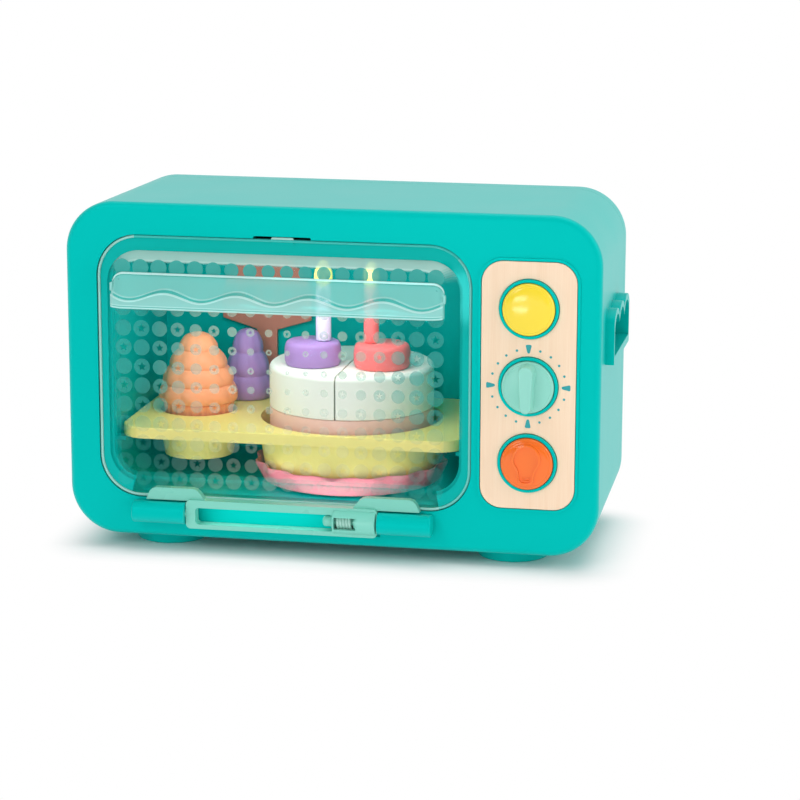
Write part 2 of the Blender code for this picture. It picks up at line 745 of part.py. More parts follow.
def body_shell(material):
    """The front shell: one moulding with the door recess, panel seat, collars and barrels."""
    rings = edge_rings(0, 1, FRONT_EDGE_RADIUS)
    rings += [housing_ring(SHELL_DEPTH, 0), housing_ring(SHELL_DEPTH, WALL)]
    rings += [housing_ring(2 * WALL, WALL), housing_ring(WALL, 2 * WALL)]
    shell = part("body_shell", loft(rings), material, OVEN)

    side = WIDTH / 2
    grip_floor = side - GRIP_POCKET_DEPTH
    join(
        shell,
        plate(recess_outline(WALL), SINK, RECESS_DEPTH + WALL),
        beam(trough_outline(TROUGH_RADIUS + WALL), TROUGH_LEFT - WALL, TROUGH_RIGHT + WALL),
        hinge_barrels(),
        plate(panel_outline(BORDER_WIDTH), -BORDER_RISE, SINK),
        beam(grip_outline(GRIP_WALL), grip_floor - GRIP_WALL, side + GRIP_RISE),
    )
    for x, _, z in post_places():
        join(shell, peg(POST_RADIUS, SINK, SHELL_DEPTH - COVER_LIP_LENGTH, "Y", (x, 0, z)))

    axis = (0, *HINGE_POINT[1:])
    bore = PIN_RADIUS + RUNNING_GAP
    trough = arc(HINGE_POINT[1:], TROUGH_RADIUS, 0, 4 * QUARTER_TURN, ROUND_STEPS)[:-1]
    cut(
        shell,
        plate(recess_outline(0), -OVERRUN, RECESS_DEPTH),
        plate(mouth_outline(0), -OVERRUN, RECESS_DEPTH + WALL + OVERRUN),
        beam(trough, TROUGH_LEFT, TROUGH_RIGHT),
        plate(panel_outline(RUNNING_GAP), -OVERRUN, PANEL_SEAT),
        beam(grip_outline(0), grip_floor, side + GRIP_RISE + OVERRUN),
        latch_notch(),
        peg(bore, TROUGH_RIGHT - OVERRUN, TROUGH_RIGHT + PIN_REACH + RUNNING_GAP, "X", axis),
        peg(bore, TROUGH_LEFT - PIN_REACH - RUNNING_GAP, TROUGH_LEFT + OVERRUN, "X", axis),
    )
    for x, _, z in post_places():
        start = SHELL_DEPTH - COVER_LIP_LENGTH - SCREW_LENGTH
        cut(shell, peg(SCREW_RADIUS + RUNNING_GAP, start, SHELL_DEPTH + OVERRUN, "Y", (x, 0, z)))
    for _, (x, y, z) in foot_places():
        cut(shell, peg(FOOT_PEG_RADIUS + SEAT_GAP, -OVERRUN, WALL + OVERRUN, "Z", (x, y, z)))
    add_stations(shell)
    return shell


def latch_notch():
    """The notch in the recess's top edge that the door's tab snaps into."""
    top = RECESS_BOTTOM + RECESS_HEIGHT
    outline = rounded(
        LATCH_NOTCH_WIDTH,
        2 * LATCH_NOTCH_RISE,
        LATCH_NOTCH_RISE - SINK / 2,
        (RECESS_CENTRE_X, top),
        EDGE_STEPS,
    )
    return plate(outline, -OVERRUN, LATCH_NOTCH_DEPTH)


def add_stations(shell):
    """Collars and guides for the controls, and posts for the circuit board."""
    for row, height in enumerate(STATION_HEIGHTS):
        centre = (PANEL_CENTRE_X, 0, height)
        join(shell, rod(COLLAR_RADIUS, -COLLAR_RISE, GUIDE_LENGTH, "Y", centre))
    for height in board_post_heights():
        centre = (PANEL_CENTRE_X, 0, height)
        profile = [
            (BOARD_POST_RADIUS, (PANEL_SEAT + WALL) / 2),
            (BOARD_POST_RADIUS, BOARD_DEPTH_IN - SEAT_GAP),
            (BOARD_PEG_RADIUS, BOARD_DEPTH_IN - SEAT_GAP),
            (BOARD_PEG_RADIUS, BOARD_DEPTH_IN + BOARD_PEG_RISE),
        ]
        join(shell, turned(profile, "Y", centre, SMALL_ROUND_STEPS))
    sound, timer, light = [(PANEL_CENTRE_X, 0, height) for height in STATION_HEIGHTS]
    for centre in (sound, light):
        cut(shell, rod(COLLAR_BORE, -COLLAR_RISE - OVERRUN, GUIDE_LENGTH + OVERRUN, "Y", centre))
    cut(
        shell,
        rod(COLLAR_BORE, -COLLAR_RISE - OVERRUN, KNOB_FLOOR, "Y", timer),
        rod(COLLAR_BORE, KNOB_FLOOR + WALL, GUIDE_LENGTH + OVERRUN, "Y", timer),
        peg(KNOB_SHAFT_RADIUS + RUNNING_GAP, -OVERRUN, GUIDE_LENGTH, "Y", timer),
    )


def rear_cover(material):
    """The rear shell, with its lip, screw wells, battery box, speaker ring and grille."""
    start = SHELL_DEPTH + SEAT_GAP
    lip = WALL + SEAT_GAP
    rings = edge_rings(DEPTH, -1, FRONT_EDGE_RADIUS)
    rings += [
        housing_ring(start, 0),
        housing_ring(start, lip),
        housing_ring(start - COVER_LIP_LENGTH, lip),
        housing_ring(start - COVER_LIP_LENGTH, lip + COVER_LIP_WALL),
        housing_ring(DEPTH - WALL, lip + COVER_LIP_WALL),
    ]
    cover = part("rear_cover", loft(rings), material, OVEN, (0, DEPTH, 0))
    inside = DEPTH - WALL
    well_start = SHELL_DEPTH - COVER_LIP_LENGTH + SEAT_GAP
    for x, _, z in post_places():
        centre = (x, 0, z)
        well_radius = SCREW_WELL_RADIUS + SCREW_WELL_WALL
        join(cover, rod(well_radius, well_start, inside + SINK, "Y", centre, FINE_STEPS))
        cut(
            cover,
            peg(SCREW_WELL_RADIUS, well_start + SCREW_WELL_FLOOR, DEPTH + OVERRUN, "Y", centre),
            peg(SCREW_RADIUS + RUNNING_GAP, well_start - OVERRUN, DEPTH, "Y", centre),
        )
    for height in (CAVITY_FLOOR + MOUTH_RADIUS, CAVITY_FLOOR + MOUTH_HEIGHT - MOUTH_RADIUS):
        rib = rounded(MOUTH_WIDTH / 2, 2 * WALL, WALL / 2, (RECESS_CENTRE_X, height), EDGE_STEPS)
        join(cover, plate(rib, CAVITY_BACK + SEAT_GAP, inside + SINK))
    add_battery_box(cover)
    add_speaker_seat(cover, inside)
    return cover


def battery_room(margin, front, back):
    """The cells' room behind the battery cover, grown by a margin."""
    return box(
        BATTERY_CENTRE_X - BATTERY_ROOM_WIDTH / 2 - margin,
        BATTERY_CENTRE_X + BATTERY_ROOM_WIDTH / 2 + margin,
        front,
        back,
        BATTERY_CENTRE_Z - BATTERY_ROOM_HEIGHT / 2 - margin,
        BATTERY_CENTRE_Z + BATTERY_ROOM_HEIGHT / 2 + margin,
    )


def battery_cover_outline(margin):
    """The battery cover laps the room's edge, and its screw tab stands above it."""
    height = BATTERY_ROOM_HEIGHT + 2 * BATTERY_COVER_LAP + COVER_TAB_HEIGHT
    return rounded(
        BATTERY_ROOM_WIDTH + 2 * BATTERY_COVER_LAP + 2 * margin,
        height + 2 * margin,
        BATTERY_COVER_RADIUS + margin,
        (BATTERY_CENTRE_X, BATTERY_CENTRE_Z + COVER_TAB_HEIGHT / 2),
        EDGE_STEPS,
    )


def battery_screw_place():
    """The battery cover's one screw, in the tab above the cells."""
    top = BATTERY_CENTRE_Z + BATTERY_ROOM_HEIGHT / 2 + BATTERY_COVER_LAP
    return (BATTERY_CENTRE_X, 0, top + COVER_TAB_HEIGHT / 2)


def battery_screw_seat():
    """The battery cover's screw sinks until its head is flush."""
    return DEPTH - SCREW_HEAD_HEIGHT - 2 * SEAT_GAP


def add_battery_box(cover):
    """A box for two cells, open to the rear, with a seat for its cover."""
    room_front = DEPTH - BATTERY_ROOM_DEPTH
    seat = DEPTH - BATTERY_COVER_THICKNESS
    spot = battery_screw_place()
    join(
        cover,
        battery_room(BATTERY_BOX_WALL, room_front - BATTERY_BOX_WALL, DEPTH - SINK),
        plate(battery_cover_outline(BATTERY_BOX_WALL), seat - BATTERY_BOX_WALL, DEPTH - SINK),
        peg(POST_RADIUS, seat - SCREW_LENGTH, seat, "Y", spot),
    )
    cut(
        cover,
        plate(battery_cover_outline(RUNNING_GAP), seat - SEAT_GAP, DEPTH + OVERRUN),
        battery_room(0, room_front, DEPTH),
        peg(SCREW_RADIUS + RUNNING_GAP, seat - SCREW_LENGTH - OVERRUN, DEPTH, "Y", spot),
    )


def add_speaker_seat(cover, inside):
    """A ring that holds the speaker to the rear wall, and a slotted grille over it."""
    centre = (BATTERY_CENTRE_X, 0, SPEAKER_HEIGHT)
    bore = SPEAKER_RADIUS + SEAT_GAP
    start = inside - SPEAKER_RING_LENGTH
    ring = [
        (bore + SPEAKER_RING_WALL, start),
        (bore + SPEAKER_RING_WALL, inside + SINK),
        (bore, inside + SINK),
        (bore, start),
    ]
    join(cover, turned(ring, "Y", centre, MIDDLE_ROUND_STEPS, True))
    middle = (GRILLE_SLOT_COUNT - 1) / 2
    corner = GRILLE_SLOT_WIDTH / 2 - SEAT_GAP
    for number in range(GRILLE_SLOT_COUNT):
        offset = (number - middle) * GRILLE_SLOT_PITCH
        half = math.sqrt((SPEAKER_RADIUS - SPEAKER_RIM) ** 2 - offset**2)
        spot = (BATTERY_CENTRE_X, SPEAKER_HEIGHT + offset)
        slot = rounded(2 * half, GRILLE_SLOT_WIDTH, corner, spot, EDGE_STEPS)
        cut(cover, plate(slot, inside - SINK, DEPTH + OVERRUN))


def feet(material):
    """Four round feet pegged into the underside."""
    for name, centre in foot_places():
        top = -SEAT_GAP
        profile = [
            (FOOT_RADIUS - FOOT_TAPER - FOOT_EDGE_RADIUS, -FOOT_HEIGHT),
            (FOOT_RADIUS - FOOT_TAPER, FOOT_EDGE_RADIUS - FOOT_HEIGHT),
            (FOOT_RADIUS, top),
            (FOOT_PEG_RADIUS, top),
            (FOOT_PEG_RADIUS, FOOT_PEG_RISE),
        ]
        mesh = turned(profile, "Z", centre, MIDDLE_ROUND_STEPS)
        part(name, mesh, material, OVEN, centre)


def screw(name, place_xz, seat, material):
    """A slotted pan-head screw driven in along -y, its head on the seat given."""
    under_head = seat + SEAT_GAP
    profile = [
        (SCREW_RADIUS / 2, under_head - SCREW_LENGTH),
        (SCREW_RADIUS, under_head - SCREW_LENGTH + SCREW_RADIUS),
        (SCREW_RADIUS, under_head),
        (SCREW_HEAD_RADIUS, under_head),
        (SCREW_HEAD_RADIUS, under_head + SCREW_HEAD_HEIGHT / 2),
        (SCREW_HEAD_RADIUS / 2, under_head + SCREW_HEAD_HEIGHT),
    ]
    centre = (place_xz[0], 0, place_xz[2])
    origin = (centre[0], seat, centre[2])
    item = part(name, turned(profile, "Y", centre, FINE_STEPS), material, OVEN, origin)
    slot_floor = under_head + SCREW_HEAD_HEIGHT / 2
    slot = box(
        centre[0] - SCREW_HEAD_RADIUS - OVERRUN,
        centre[0] + SCREW_HEAD_RADIUS + OVERRUN,
        slot_floor,
        slot_floor + OVERRUN,
        centre[2] - SCREW_SLOT_WIDTH / 2,
        centre[2] + SCREW_SLOT_WIDTH / 2,
    )
    cut(item, slot)


def screws(material):
    """Four screws in the rear cover's wells and one in the battery cover."""
    seat = SHELL_DEPTH - COVER_LIP_LENGTH + SEAT_GAP + SCREW_WELL_FLOOR
    for number, spot in enumerate(post_places()):
        screw(f"rear_screw_{number + 1}", spot, seat, material)
    screw("battery_cover_screw", battery_screw_place(), battery_screw_seat(), material)


# Oven cavity


def cavity_ring(y, margin):
    """The cavity's outline at depth y, drawn in towards the back by the mould's draft."""
    drawn = CAVITY_DRAFT * (y - CAVITY_FRONT) / (CAVITY_BACK - CAVITY_FRONT)
    return at_y(mouth_outline(margin - drawn), y)


def cavity_liner(material):
    """The oven's inside: a deep box behind the door with a rail along each side."""
    flange_back = CAVITY_FRONT + CAVITY_WALL
    rings = [
        cavity_ring(CAVITY_BACK, CAVITY_WALL),
        cavity_ring(flange_back, CAVITY_WALL),
        cavity_ring(flange_back, CAVITY_FLANGE),
        cavity_ring(CAVITY_FRONT, CAVITY_FLANGE),
        cavity_ring(CAVITY_FRONT, 0),
        cavity_ring(CAVITY_BACK - CAVITY_WALL, 0),
    ]
    liner = part("cavity_liner", loft(rings), material, OVEN, (RECESS_CENTRE_X, CAVITY_FRONT, 0))
    half = MOUTH_WIDTH / 2
    for side in (-1, 1):
        inner = RECESS_CENTRE_X + side * (half - RAIL_REACH)
        outer = RECESS_CENTRE_X + side * (half + CAVITY_WALL / 2)
        rail = box(
            min(inner, outer),
            max(inner, outer),
            RAIL_FRONT,
            RAIL_FRONT + RAIL_LENGTH,
            RAIL_HEIGHT,
            RAIL_HEIGHT + RAIL_THICKNESS,
        )
        join(liner, rail)
    wall = RECESS_CENTRE_X + half
    spot = (0, LAMP_DEPTH_IN, LAMP_HEIGHT)
    cut(liner, peg(LAMP_RADIUS + SEAT_GAP, wall - OVERRUN, wall + OVERRUN, "X", spot))
    return liner


def lamp(lens_finish, led_finish):
    """The lamp's lens in the cavity's side wall, with its light inside the lens's tube."""
    centre = (0, LAMP_DEPTH_IN, LAMP_HEIGHT)
    wall = RECESS_CENTRE_X + MOUTH_WIDTH / 2
    outside = wall + CAVITY_WALL + SEAT_GAP
    bore = LED_RADIUS + SEAT_GAP
    end = outside + LAMP_TUBE_LENGTH
    profile = [
        (LAMP_RADIUS / 2, wall - LAMP_LENS_RISE),
        (LAMP_RADIUS, wall - LAMP_LENS_WALL),
        (LAMP_RADIUS, outside),
        (LAMP_RADIUS + LAMP_LENS_WALL, outside),
        (LAMP_RADIUS + LAMP_LENS_WALL, outside + LAMP_LENS_WALL),
        (bore + LAMP_LENS_WALL, outside + LAMP_LENS_WALL),
        (bore + LAMP_LENS_WALL, end),
    ]
    lens = turned(profile, "X", centre, SMALL_ROUND_STEPS)
    item = part("lamp_lens", lens, lens_finish, OVEN, (wall, LAMP_DEPTH_IN, LAMP_HEIGHT))
    cut(item, peg(bore, wall + LAMP_LENS_WALL, end + OVERRUN, "X", centre))
    tip = wall + LAMP_LENS_WALL + SEAT_GAP
    led = [
        (LED_RADIUS / 2, tip),
        (LED_RADIUS, tip + LED_RADIUS / 2),
        (LED_RADIUS, tip + LED_LENGTH),
    ]
    part("lamp_led", turned(led, "X", centre, SMALL_ROUND_STEPS), led_finish, OVEN, (tip, *centre[1:]))


# Control panel, controls and their inside


def control_panel(material):
    """The thin wooden panel, with a hole round each control."""
    front = PANEL_SEAT - SEAT_GAP - PANEL_THICKNESS
    mesh = plate(panel_outline(0), front, PANEL_SEAT - SEAT_GAP)
    panel = part("control_panel", mesh, material, OVEN, (PANEL_CENTRE_X, front, PANEL_CENTRE_Z))
    for height in STATION_HEIGHTS:
        centre = (PANEL_CENTRE_X, 0, height)
        cut(panel, rod(COLLAR_RADIUS + SEAT_GAP, -OVERRUN, OVERRUN, "Y", centre))


def dome(radius, front, back, rise, edge):
    """A cap's turned profile from its skirt's rear to a domed front."""
    crown = rise - edge
    angles = evenly(0, QUARTER_TURN, EDGE_STEPS)
    profile = [(radius, back)]
    profile += [
        (radius - edge + edge * math.cos(turn), front + crown + edge - edge * math.sin(turn))
        for turn in angles
    ]
    flat = radius - edge
    for turn in angles[1:-1]:
        profile.append((flat * math.cos(turn), front + crown * (1 - math.sin(turn))))
    profile.append((flat * CROWN_FLAT_SHARE, front))
    return profile


def button(name, height, material, steel):
    """A round cap on a guide, held in by its rear flange, with its spring round a stem."""
    centre = (PANEL_CENTRE_X, 0, height)
    front = -COLLAR_RISE - BUTTON_RISE
    stop = GUIDE_LENGTH + RUNNING_GAP
    back = stop + BUTTON_FLANGE
    profile = dome(BUTTON_RADIUS, front, stop, BUTTON_DOME, BUTTON_EDGE_RADIUS)
    profile = [(COLLAR_RADIUS, back), (COLLAR_RADIUS, stop)] + profile
    carrier = empty(f"{name}_travel", (PANEL_CENTRE_X, front, height), OVEN)
    origin = (PANEL_CENTRE_X, front, height)
    cap = part(name, turned(profile, "Y", centre), material, carrier, origin)
    floor = front + BUTTON_DOME + BUTTON_SKIN
    cut(cap, rod(BUTTON_RADIUS - BUTTON_SKIN, floor, back + OVERRUN, "Y", centre))
    stem_end = BOARD_DEPTH_IN - SWITCH_HEIGHT - SWITCH_PLUNGER_RISE - BUTTON_STROKE - 2 * SEAT_GAP
    join(cap, peg(BUTTON_STEM_RADIUS, floor - SINK, stem_end, "Y", centre))
    coil(
        f"{name}_spring",
        BUTTON_SPRING_RADIUS,
        BUTTON_SPRING_WIRE,
        BUTTON_SPRING_TURNS,
        floor + SEAT_GAP,
        BOARD_DEPTH_IN - SEAT_GAP,
        "Y",
        centre,
        steel,
        OVEN,
        (PANEL_CENTRE_X, floor, height),
    )
    return cap


def bulb_outline(height):
    """A light bulb's plain outline: a round globe that draws in to its cap."""
    globe = BULB_RADIUS
    neck = BULB_NECK_RADIUS
    middle = height + BULB_LENGTH / 2 - globe
    foot = height - BULB_LENGTH / 2
    waist = math.acos(neck / globe)
    outline = arc((PANEL_CENTRE_X, middle), globe, -waist, 2 * QUARTER_TURN + waist, 2 * CORNER_STEPS)
    outline += [(PANEL_CENTRE_X - neck, foot), (PANEL_CENTRE_X + neck, foot)]
    return outline


def timer_knob(material):
    """A round knob with a tapered grip bar, and its shaft to the click wheel and the board."""
    height = STATION_HEIGHTS[1]
    centre = (PANEL_CENTRE_X, 0, height)
    front = -COLLAR_RISE - KNOB_RISE
    back = KNOB_FLOOR - RUNNING_GAP
    carrier = empty("timer_knob_turn", (PANEL_CENTRE_X, front, height), OVEN)
    profile = dome(BUTTON_RADIUS, front, back, 2 * KNOB_EDGE_RADIUS, KNOB_EDGE_RADIUS)
    origin = (PANEL_CENTRE_X, front, height)
    knob = part("timer_knob", turned(profile, "Y", centre), material, carrier, origin)
    join(
        knob,
        grip_bar(height, front),
        peg(KNOB_SHAFT_RADIUS, back - SINK, knob_shaft_end(), "Y", centre),
    )

    start = GUIDE_LENGTH + RUNNING_GAP
    wheel = [
        (
            PANEL_CENTRE_X + click_radius(turn) * math.cos(turn),
            height + click_radius(turn) * math.sin(turn),
        )
        for turn in evenly(0, 4 * QUARTER_TURN, 4 * CLICK_COUNT)[:-1]
    ]
    mesh = plate(wheel, start, start + CLICK_WHEEL_LENGTH)
    click = part("click_wheel", mesh, material, carrier, (PANEL_CENTRE_X, start, height))
    end = start + CLICK_WHEEL_LENGTH
    cut(click, peg(KNOB_SHAFT_RADIUS + SEAT_GAP, start - OVERRUN, end + OVERRUN, "Y", centre))


def click_radius(turn):
    """The click wheel's radius, waved round its edge."""
    return CLICK_WHEEL_RADIUS + CLICK_WHEEL_WAVE * math.cos(CLICK_COUNT * turn)


def knob_shaft_end():
    """The knob's shaft reaches into the rotary switch."""
    return BOARD_DEPTH_IN - ROTARY_HEIGHT / 2


def grip_bar(height, front):
    """The knob's grip: a bar across its face that narrows to its pointer end and its top."""
    rings = []
    crest = front - GRIP_BAR_REACH
    levels = (
        (front + 2 * SINK, 0),
        (crest + GRIP_BAR_DRAFT, GRIP_BAR_DRAFT / 2),
        (crest, GRIP_BAR_DRAFT),
    )
    half_turn = 2 * QUARTER_TURN
    for depth, drawn in levels:
        reach = BUTTON_RADIUS - KNOB_EDGE_RADIUS / 2 - drawn
        wide = GRIP_BAR_WIDTH / 2 - drawn
        tip = GRIP_BAR_TIP_WIDTH / 2 - drawn
        foot = (PANEL_CENTRE_X, height - reach + wide)
        head = (PANEL_CENTRE_X, height + reach - tip)
        outline = arc(foot, wide, half_turn, 2 * half_turn, CORNER_STEPS)
        outline += arc(head, tip, 0, half_turn, CORNER_STEPS)
        rings.append(at_y(outline, depth))
    return loft(rings)


def click_leaf(steel):
    """A leaf spring over the click wheel, its foot on the upper board post."""
    height = STATION_HEIGHTS[1]
    reach = CLICK_WHEEL_RADIUS + CLICK_WHEEL_WAVE + SEAT_GAP
    start = GUIDE_LENGTH + RUNNING_GAP
    across = PANEL_CENTRE_X
    foot = board_post_heights()[0] - BOARD_POST_RADIUS - SEAT_GAP
    nose = height + reach
    outline = [
        (across - LEAF_LENGTH / 2, foot - LEAF_THICKNESS),
        (across - LEAF_LENGTH / 4, nose + LEAF_THICKNESS),
        (across, nose),
        (across + LEAF_LENGTH / 4, nose + LEAF_THICKNESS),
        (across + LEAF_LENGTH / 2, foot - LEAF_THICKNESS),
        (across + LEAF_LENGTH / 2, foot),
        (across, foot),
        (across - LEAF_LENGTH / 2, foot),
    ]
    part("click_leaf", plate(outline, start, start + LEAF_WIDTH), steel, OVEN, (across, start, foot))


def circuit_board(board_finish, black):
    """The board behind the controls, pegged on two posts, with its three switches."""
    sound, timer, light = STATION_HEIGHTS
    back = BOARD_DEPTH_IN + BOARD_THICKNESS
    x = PANEL_CENTRE_X
    middle = (x, PANEL_CENTRE_Z)
    outline = rounded(BOARD_WIDTH, BOARD_HEIGHT, BOARD_RADIUS, middle, EDGE_STEPS)
    mesh = plate(outline, BOARD_DEPTH_IN, back)
    board = part("circuit_board", mesh, board_finish, OVEN, (x, BOARD_DEPTH_IN, PANEL_CENTRE_Z))
    for height in board_post_heights():
        hole = peg(BOARD_PEG_RADIUS + SEAT_GAP, -OVERRUN, back + OVERRUN, "Y", (x, 0, height))
        cut(board, hole)
    seat = BOARD_DEPTH_IN - SEAT_GAP
    face = seat - SWITCH_HEIGHT
    for name, height in (("sound_switch", sound), ("light_switch", light)):
        corner = SWITCH_PLUNGER_RADIUS / 2
        outline = rounded(SWITCH_SIDE, SWITCH_SIDE, corner, (x, height), EDGE_STEPS)
        item = part(name, plate(outline, face, seat), black, OVEN, (x, seat, height))
        start = face - SWITCH_PLUNGER_RISE
        join(item, peg(SWITCH_PLUNGER_RADIUS, start, seat - SINK, "Y", (x, 0, height)))
    outline = rounded(ROTARY_SIDE, ROTARY_SIDE, SWITCH_PLUNGER_RADIUS, (x, timer), EDGE_STEPS)
    mesh = plate(outline, seat - ROTARY_HEIGHT, seat)
    rotary = part("rotary_switch", mesh, black, OVEN, (x, seat, timer))
    end = knob_shaft_end() + RUNNING_GAP
    cut(rotary, peg(KNOB_SHAFT_RADIUS + RUNNING_GAP, -OVERRUN, end, "Y", (x, 0, timer)))


def speaker(material):
    """A small loudspeaker: rim, shallow cone towards the grille and magnet behind."""
    centre = (BATTERY_CENTRE_X, 0, SPEAKER_HEIGHT)
    face = DEPTH - WALL - SEAT_GAP
    basket = SPEAKER_MAGNET_RADIUS + SPEAKER_RIM
    profile = [
        (SPEAKER_MAGNET_RADIUS, face - SPEAKER_DEPTH),
        (SPEAKER_MAGNET_RADIUS, face - SPEAKER_DEPTH / 2),
        (basket, face - SPEAKER_DEPTH / 2),
        (SPEAKER_RADIUS, face - SPEAKER_RIM),
        (SPEAKER_RADIUS, face),
        (SPEAKER_RADIUS - SPEAKER_RIM, face),
        (SPEAKER_MAGNET_RADIUS, face - SPEAKER_CONE_DEPTH),
        (SPEAKER_MAGNET_RADIUS / 2, face - SPEAKER_CONE_DEPTH + SPEAKER_RIM / 2),
    ]
    mesh = turned(profile, "Y", centre, MIDDLE_ROUND_STEPS)
    part("speaker", mesh, material, OVEN, (BATTERY_CENTRE_X, face, SPEAKER_HEIGHT))


def battery_pack(cell_finish, steel, teal):
    """Two cells side by side, head to foot, the contacts at their ends and the cover."""
    middle_y = DEPTH - BATTERY_ROOM_DEPTH + RUNNING_GAP + CELL_RADIUS
    low = BATTERY_CENTRE_Z - (CELL_LENGTH + CELL_TIP_LENGTH) / 2
    high = BATTERY_CENTRE_Z + (CELL_LENGTH + CELL_TIP_LENGTH) / 2
    for number, side in enumerate((-1, 1)):
        x = BATTERY_CENTRE_X + side * CELL_PITCH / 2
        profile = [
            (CELL_RADIUS - CELL_EDGE, 0),
            (CELL_RADIUS, CELL_EDGE),
            (CELL_RADIUS, CELL_LENGTH - CELL_EDGE),
            (CELL_RADIUS - CELL_EDGE, CELL_LENGTH),
            (CELL_TIP_RADIUS, CELL_LENGTH),
            (CELL_TIP_RADIUS, CELL_LENGTH + CELL_TIP_LENGTH),
        ]
        foot = low if side < 0 else high
        stood = [(radius, -side * distance) for radius, distance in profile]
        centre = (x, middle_y, foot)
        mesh = turned(stood, "Z", centre, MIDDLE_ROUND_STEPS)
        part(f"battery_{number + 1}", mesh, cell_finish, OVEN, centre)
    ends = (
        ("battery_contact_top", high + SEAT_GAP, high + SEAT_GAP + CONTACT_THICKNESS),
        ("battery_contact_bottom", low - SEAT_GAP - CONTACT_THICKNESS, low - SEAT_GAP),
    )
    middle = (BATTERY_CENTRE_X, middle_y)
    for name, bottom, top in ends:
        length = CELL_PITCH + CONTACT_WIDTH
        outline = rounded(length, CONTACT_WIDTH, CELL_EDGE, middle, EDGE_STEPS)
        part(name, slab(outline, bottom, top), steel, OVEN, (*middle, bottom))
    seat = DEPTH - BATTERY_COVER_THICKNESS
    mesh = plate(battery_cover_outline(0), seat, DEPTH)
    cover = part("battery_cover", mesh, teal, OVEN, (BATTERY_CENTRE_X, seat, BATTERY_CENTRE_Z))
    spot = battery_screw_place()
    cut(
        cover,
        peg(SCREW_RADIUS + RUNNING_GAP, seat - OVERRUN, DEPTH + OVERRUN, "Y", spot),
        peg(SCREW_WELL_RADIUS, battery_screw_seat(), DEPTH + OVERRUN, "Y", spot),
    )


# Door


def flange_outline(margin):
    """The door flange's outline, grown by a margin."""
    return rounded(
        FLANGE_WIDE + 2 * margin,
        FLANGE_HIGH + 2 * margin,
        RECESS_RADIUS - DOOR_CLEARANCE + margin,
        (RECESS_CENTRE_X, RECESS_CENTRE_Z),
    )


def bulge_ring(share, inset, y):
    """The door's boxed-out front at a share of its slope, from flange (0) to face (1)."""
    side = BULGE_SLOPE * share + inset
    radius = BULGE_RADIUS + (BULGE_FRONT_RADIUS - BULGE_RADIUS) * share - inset
    outline = rounded(
        BULGE_WIDE - 2 * side,
        BULGE_HIGH - 2 * BULGE_TOP_SLOPE * share - 2 * inset,
        radius,
        (RECESS_CENTRE_X, BULGE_CENTRE_Z),
    )
    return at_y(outline, y)


def door_window(material):
    """The clear door: a rimmed flange in the recess, a boxed-out front and a latch tab."""
    rim_front = FLANGE_FRONT - RIM_RISE
    rings = [
        at_y(flange_outline(0), FLANGE_BACK),
        at_y(flange_outline(0), rim_front),
        at_y(flange_outline(-RIM_WIDTH), rim_front),
        at_y(flange_outline(-RIM_WIDTH), FLANGE_FRONT),
        bulge_ring(0, 0, FLANGE_FRONT),
    ]
    for turn in evenly(0, QUARTER_TURN, EDGE_STEPS):
        inset = BULGE_EDGE_RADIUS * (1 - math.cos(turn))
        y = BULGE_FRONT + BULGE_EDGE_RADIUS * (1 - math.sin(turn))
        rings.append(bulge_ring(1, inset, y))
    inside = [
        bulge_ring(1, WINDOW_WALL + BULGE_EDGE_RADIUS, BULGE_FRONT + WINDOW_WALL),
        bulge_ring(1, WINDOW_WALL, BULGE_FRONT + WINDOW_WALL + BULGE_EDGE_RADIUS),
        bulge_ring(0, WINDOW_WALL, FLANGE_BACK),
    ]
    rings = inside + rings
    window = part("door_window", loft(rings[::-1]), material, DOOR, HINGE_POINT)
    top = RECESS_BOTTOM + RECESS_HEIGHT
    tab = rounded(
        LATCH_TAB_WIDTH,
        2 * (LATCH_TAB_RISE + RIM_WIDTH),
        LATCH_TAB_RISE,
        (RECESS_CENTRE_X, top - RIM_WIDTH),
        EDGE_STEPS,
    )
    join(window, plate(tab, FLANGE_FRONT - RIM_RISE / 2, FLANGE_FRONT - RIM_RISE / 2 + LATCH_TAB_THICKNESS))
    return window


def handle_stations():
    """Where the handle's sections stand along x, with how far each reaches forward."""
    left = RECESS_CENTRE_X - HANDLE_LENGTH / 2
    right = left + HANDLE_LENGTH
    count = round(HANDLE_LENGTH / WAVE_LENGTH * STATIONS_PER_WAVE)
    stations = []
    for x in evenly(left, right, count):
        past_end = max(left + HANDLE_END_LENGTH - x, x - right + HANDLE_END_LENGTH, 0)
        reach = math.sqrt(1 - (past_end / HANDLE_END_LENGTH * HANDLE_END_SHARE) ** 2)
        stations.append((x, reach))
    return stations


def wave_height(x):
    """The wavy step's height on the handle at x."""
    return WAVE_LINE + WAVE_HEIGHT * math.cos(4 * QUARTER_TURN * (x - WAVE_CREST) / WAVE_LENGTH)


def handle_section(x, reach):
    """The handle's section at x as (y, z): a slope from the door with a wavy step, and a lip."""
    base = BULGE_FRONT - SEAT_GAP
    front = base - HANDLE_REACH * reach
    wave = wave_height(x)
    run = (HANDLE_TOP - wave) / (HANDLE_TOP - HANDLE_LIP_TOP + WAVE_HEIGHT)
    step = base + (front - base) * run * HANDLE_SLOPE_SHARE
    return [
        (base, HANDLE_TOP),
        (step + HANDLE_STEP, wave + HANDLE_STEP),
        (step - HANDLE_STEP / 2, wave + HANDLE_STEP / 2),
        (front + HANDLE_EDGE_RADIUS / 2, wave - HANDLE_EDGE_RADIUS),
        (front, wave - HANDLE_EDGE_RADIUS - HANDLE_STEP),
        (front, HANDLE_BOTTOM + HANDLE_STEP),
        (front + HANDLE_STEP, HANDLE_BOTTOM),
        (base, HANDLE_BOTTOM),
    ]


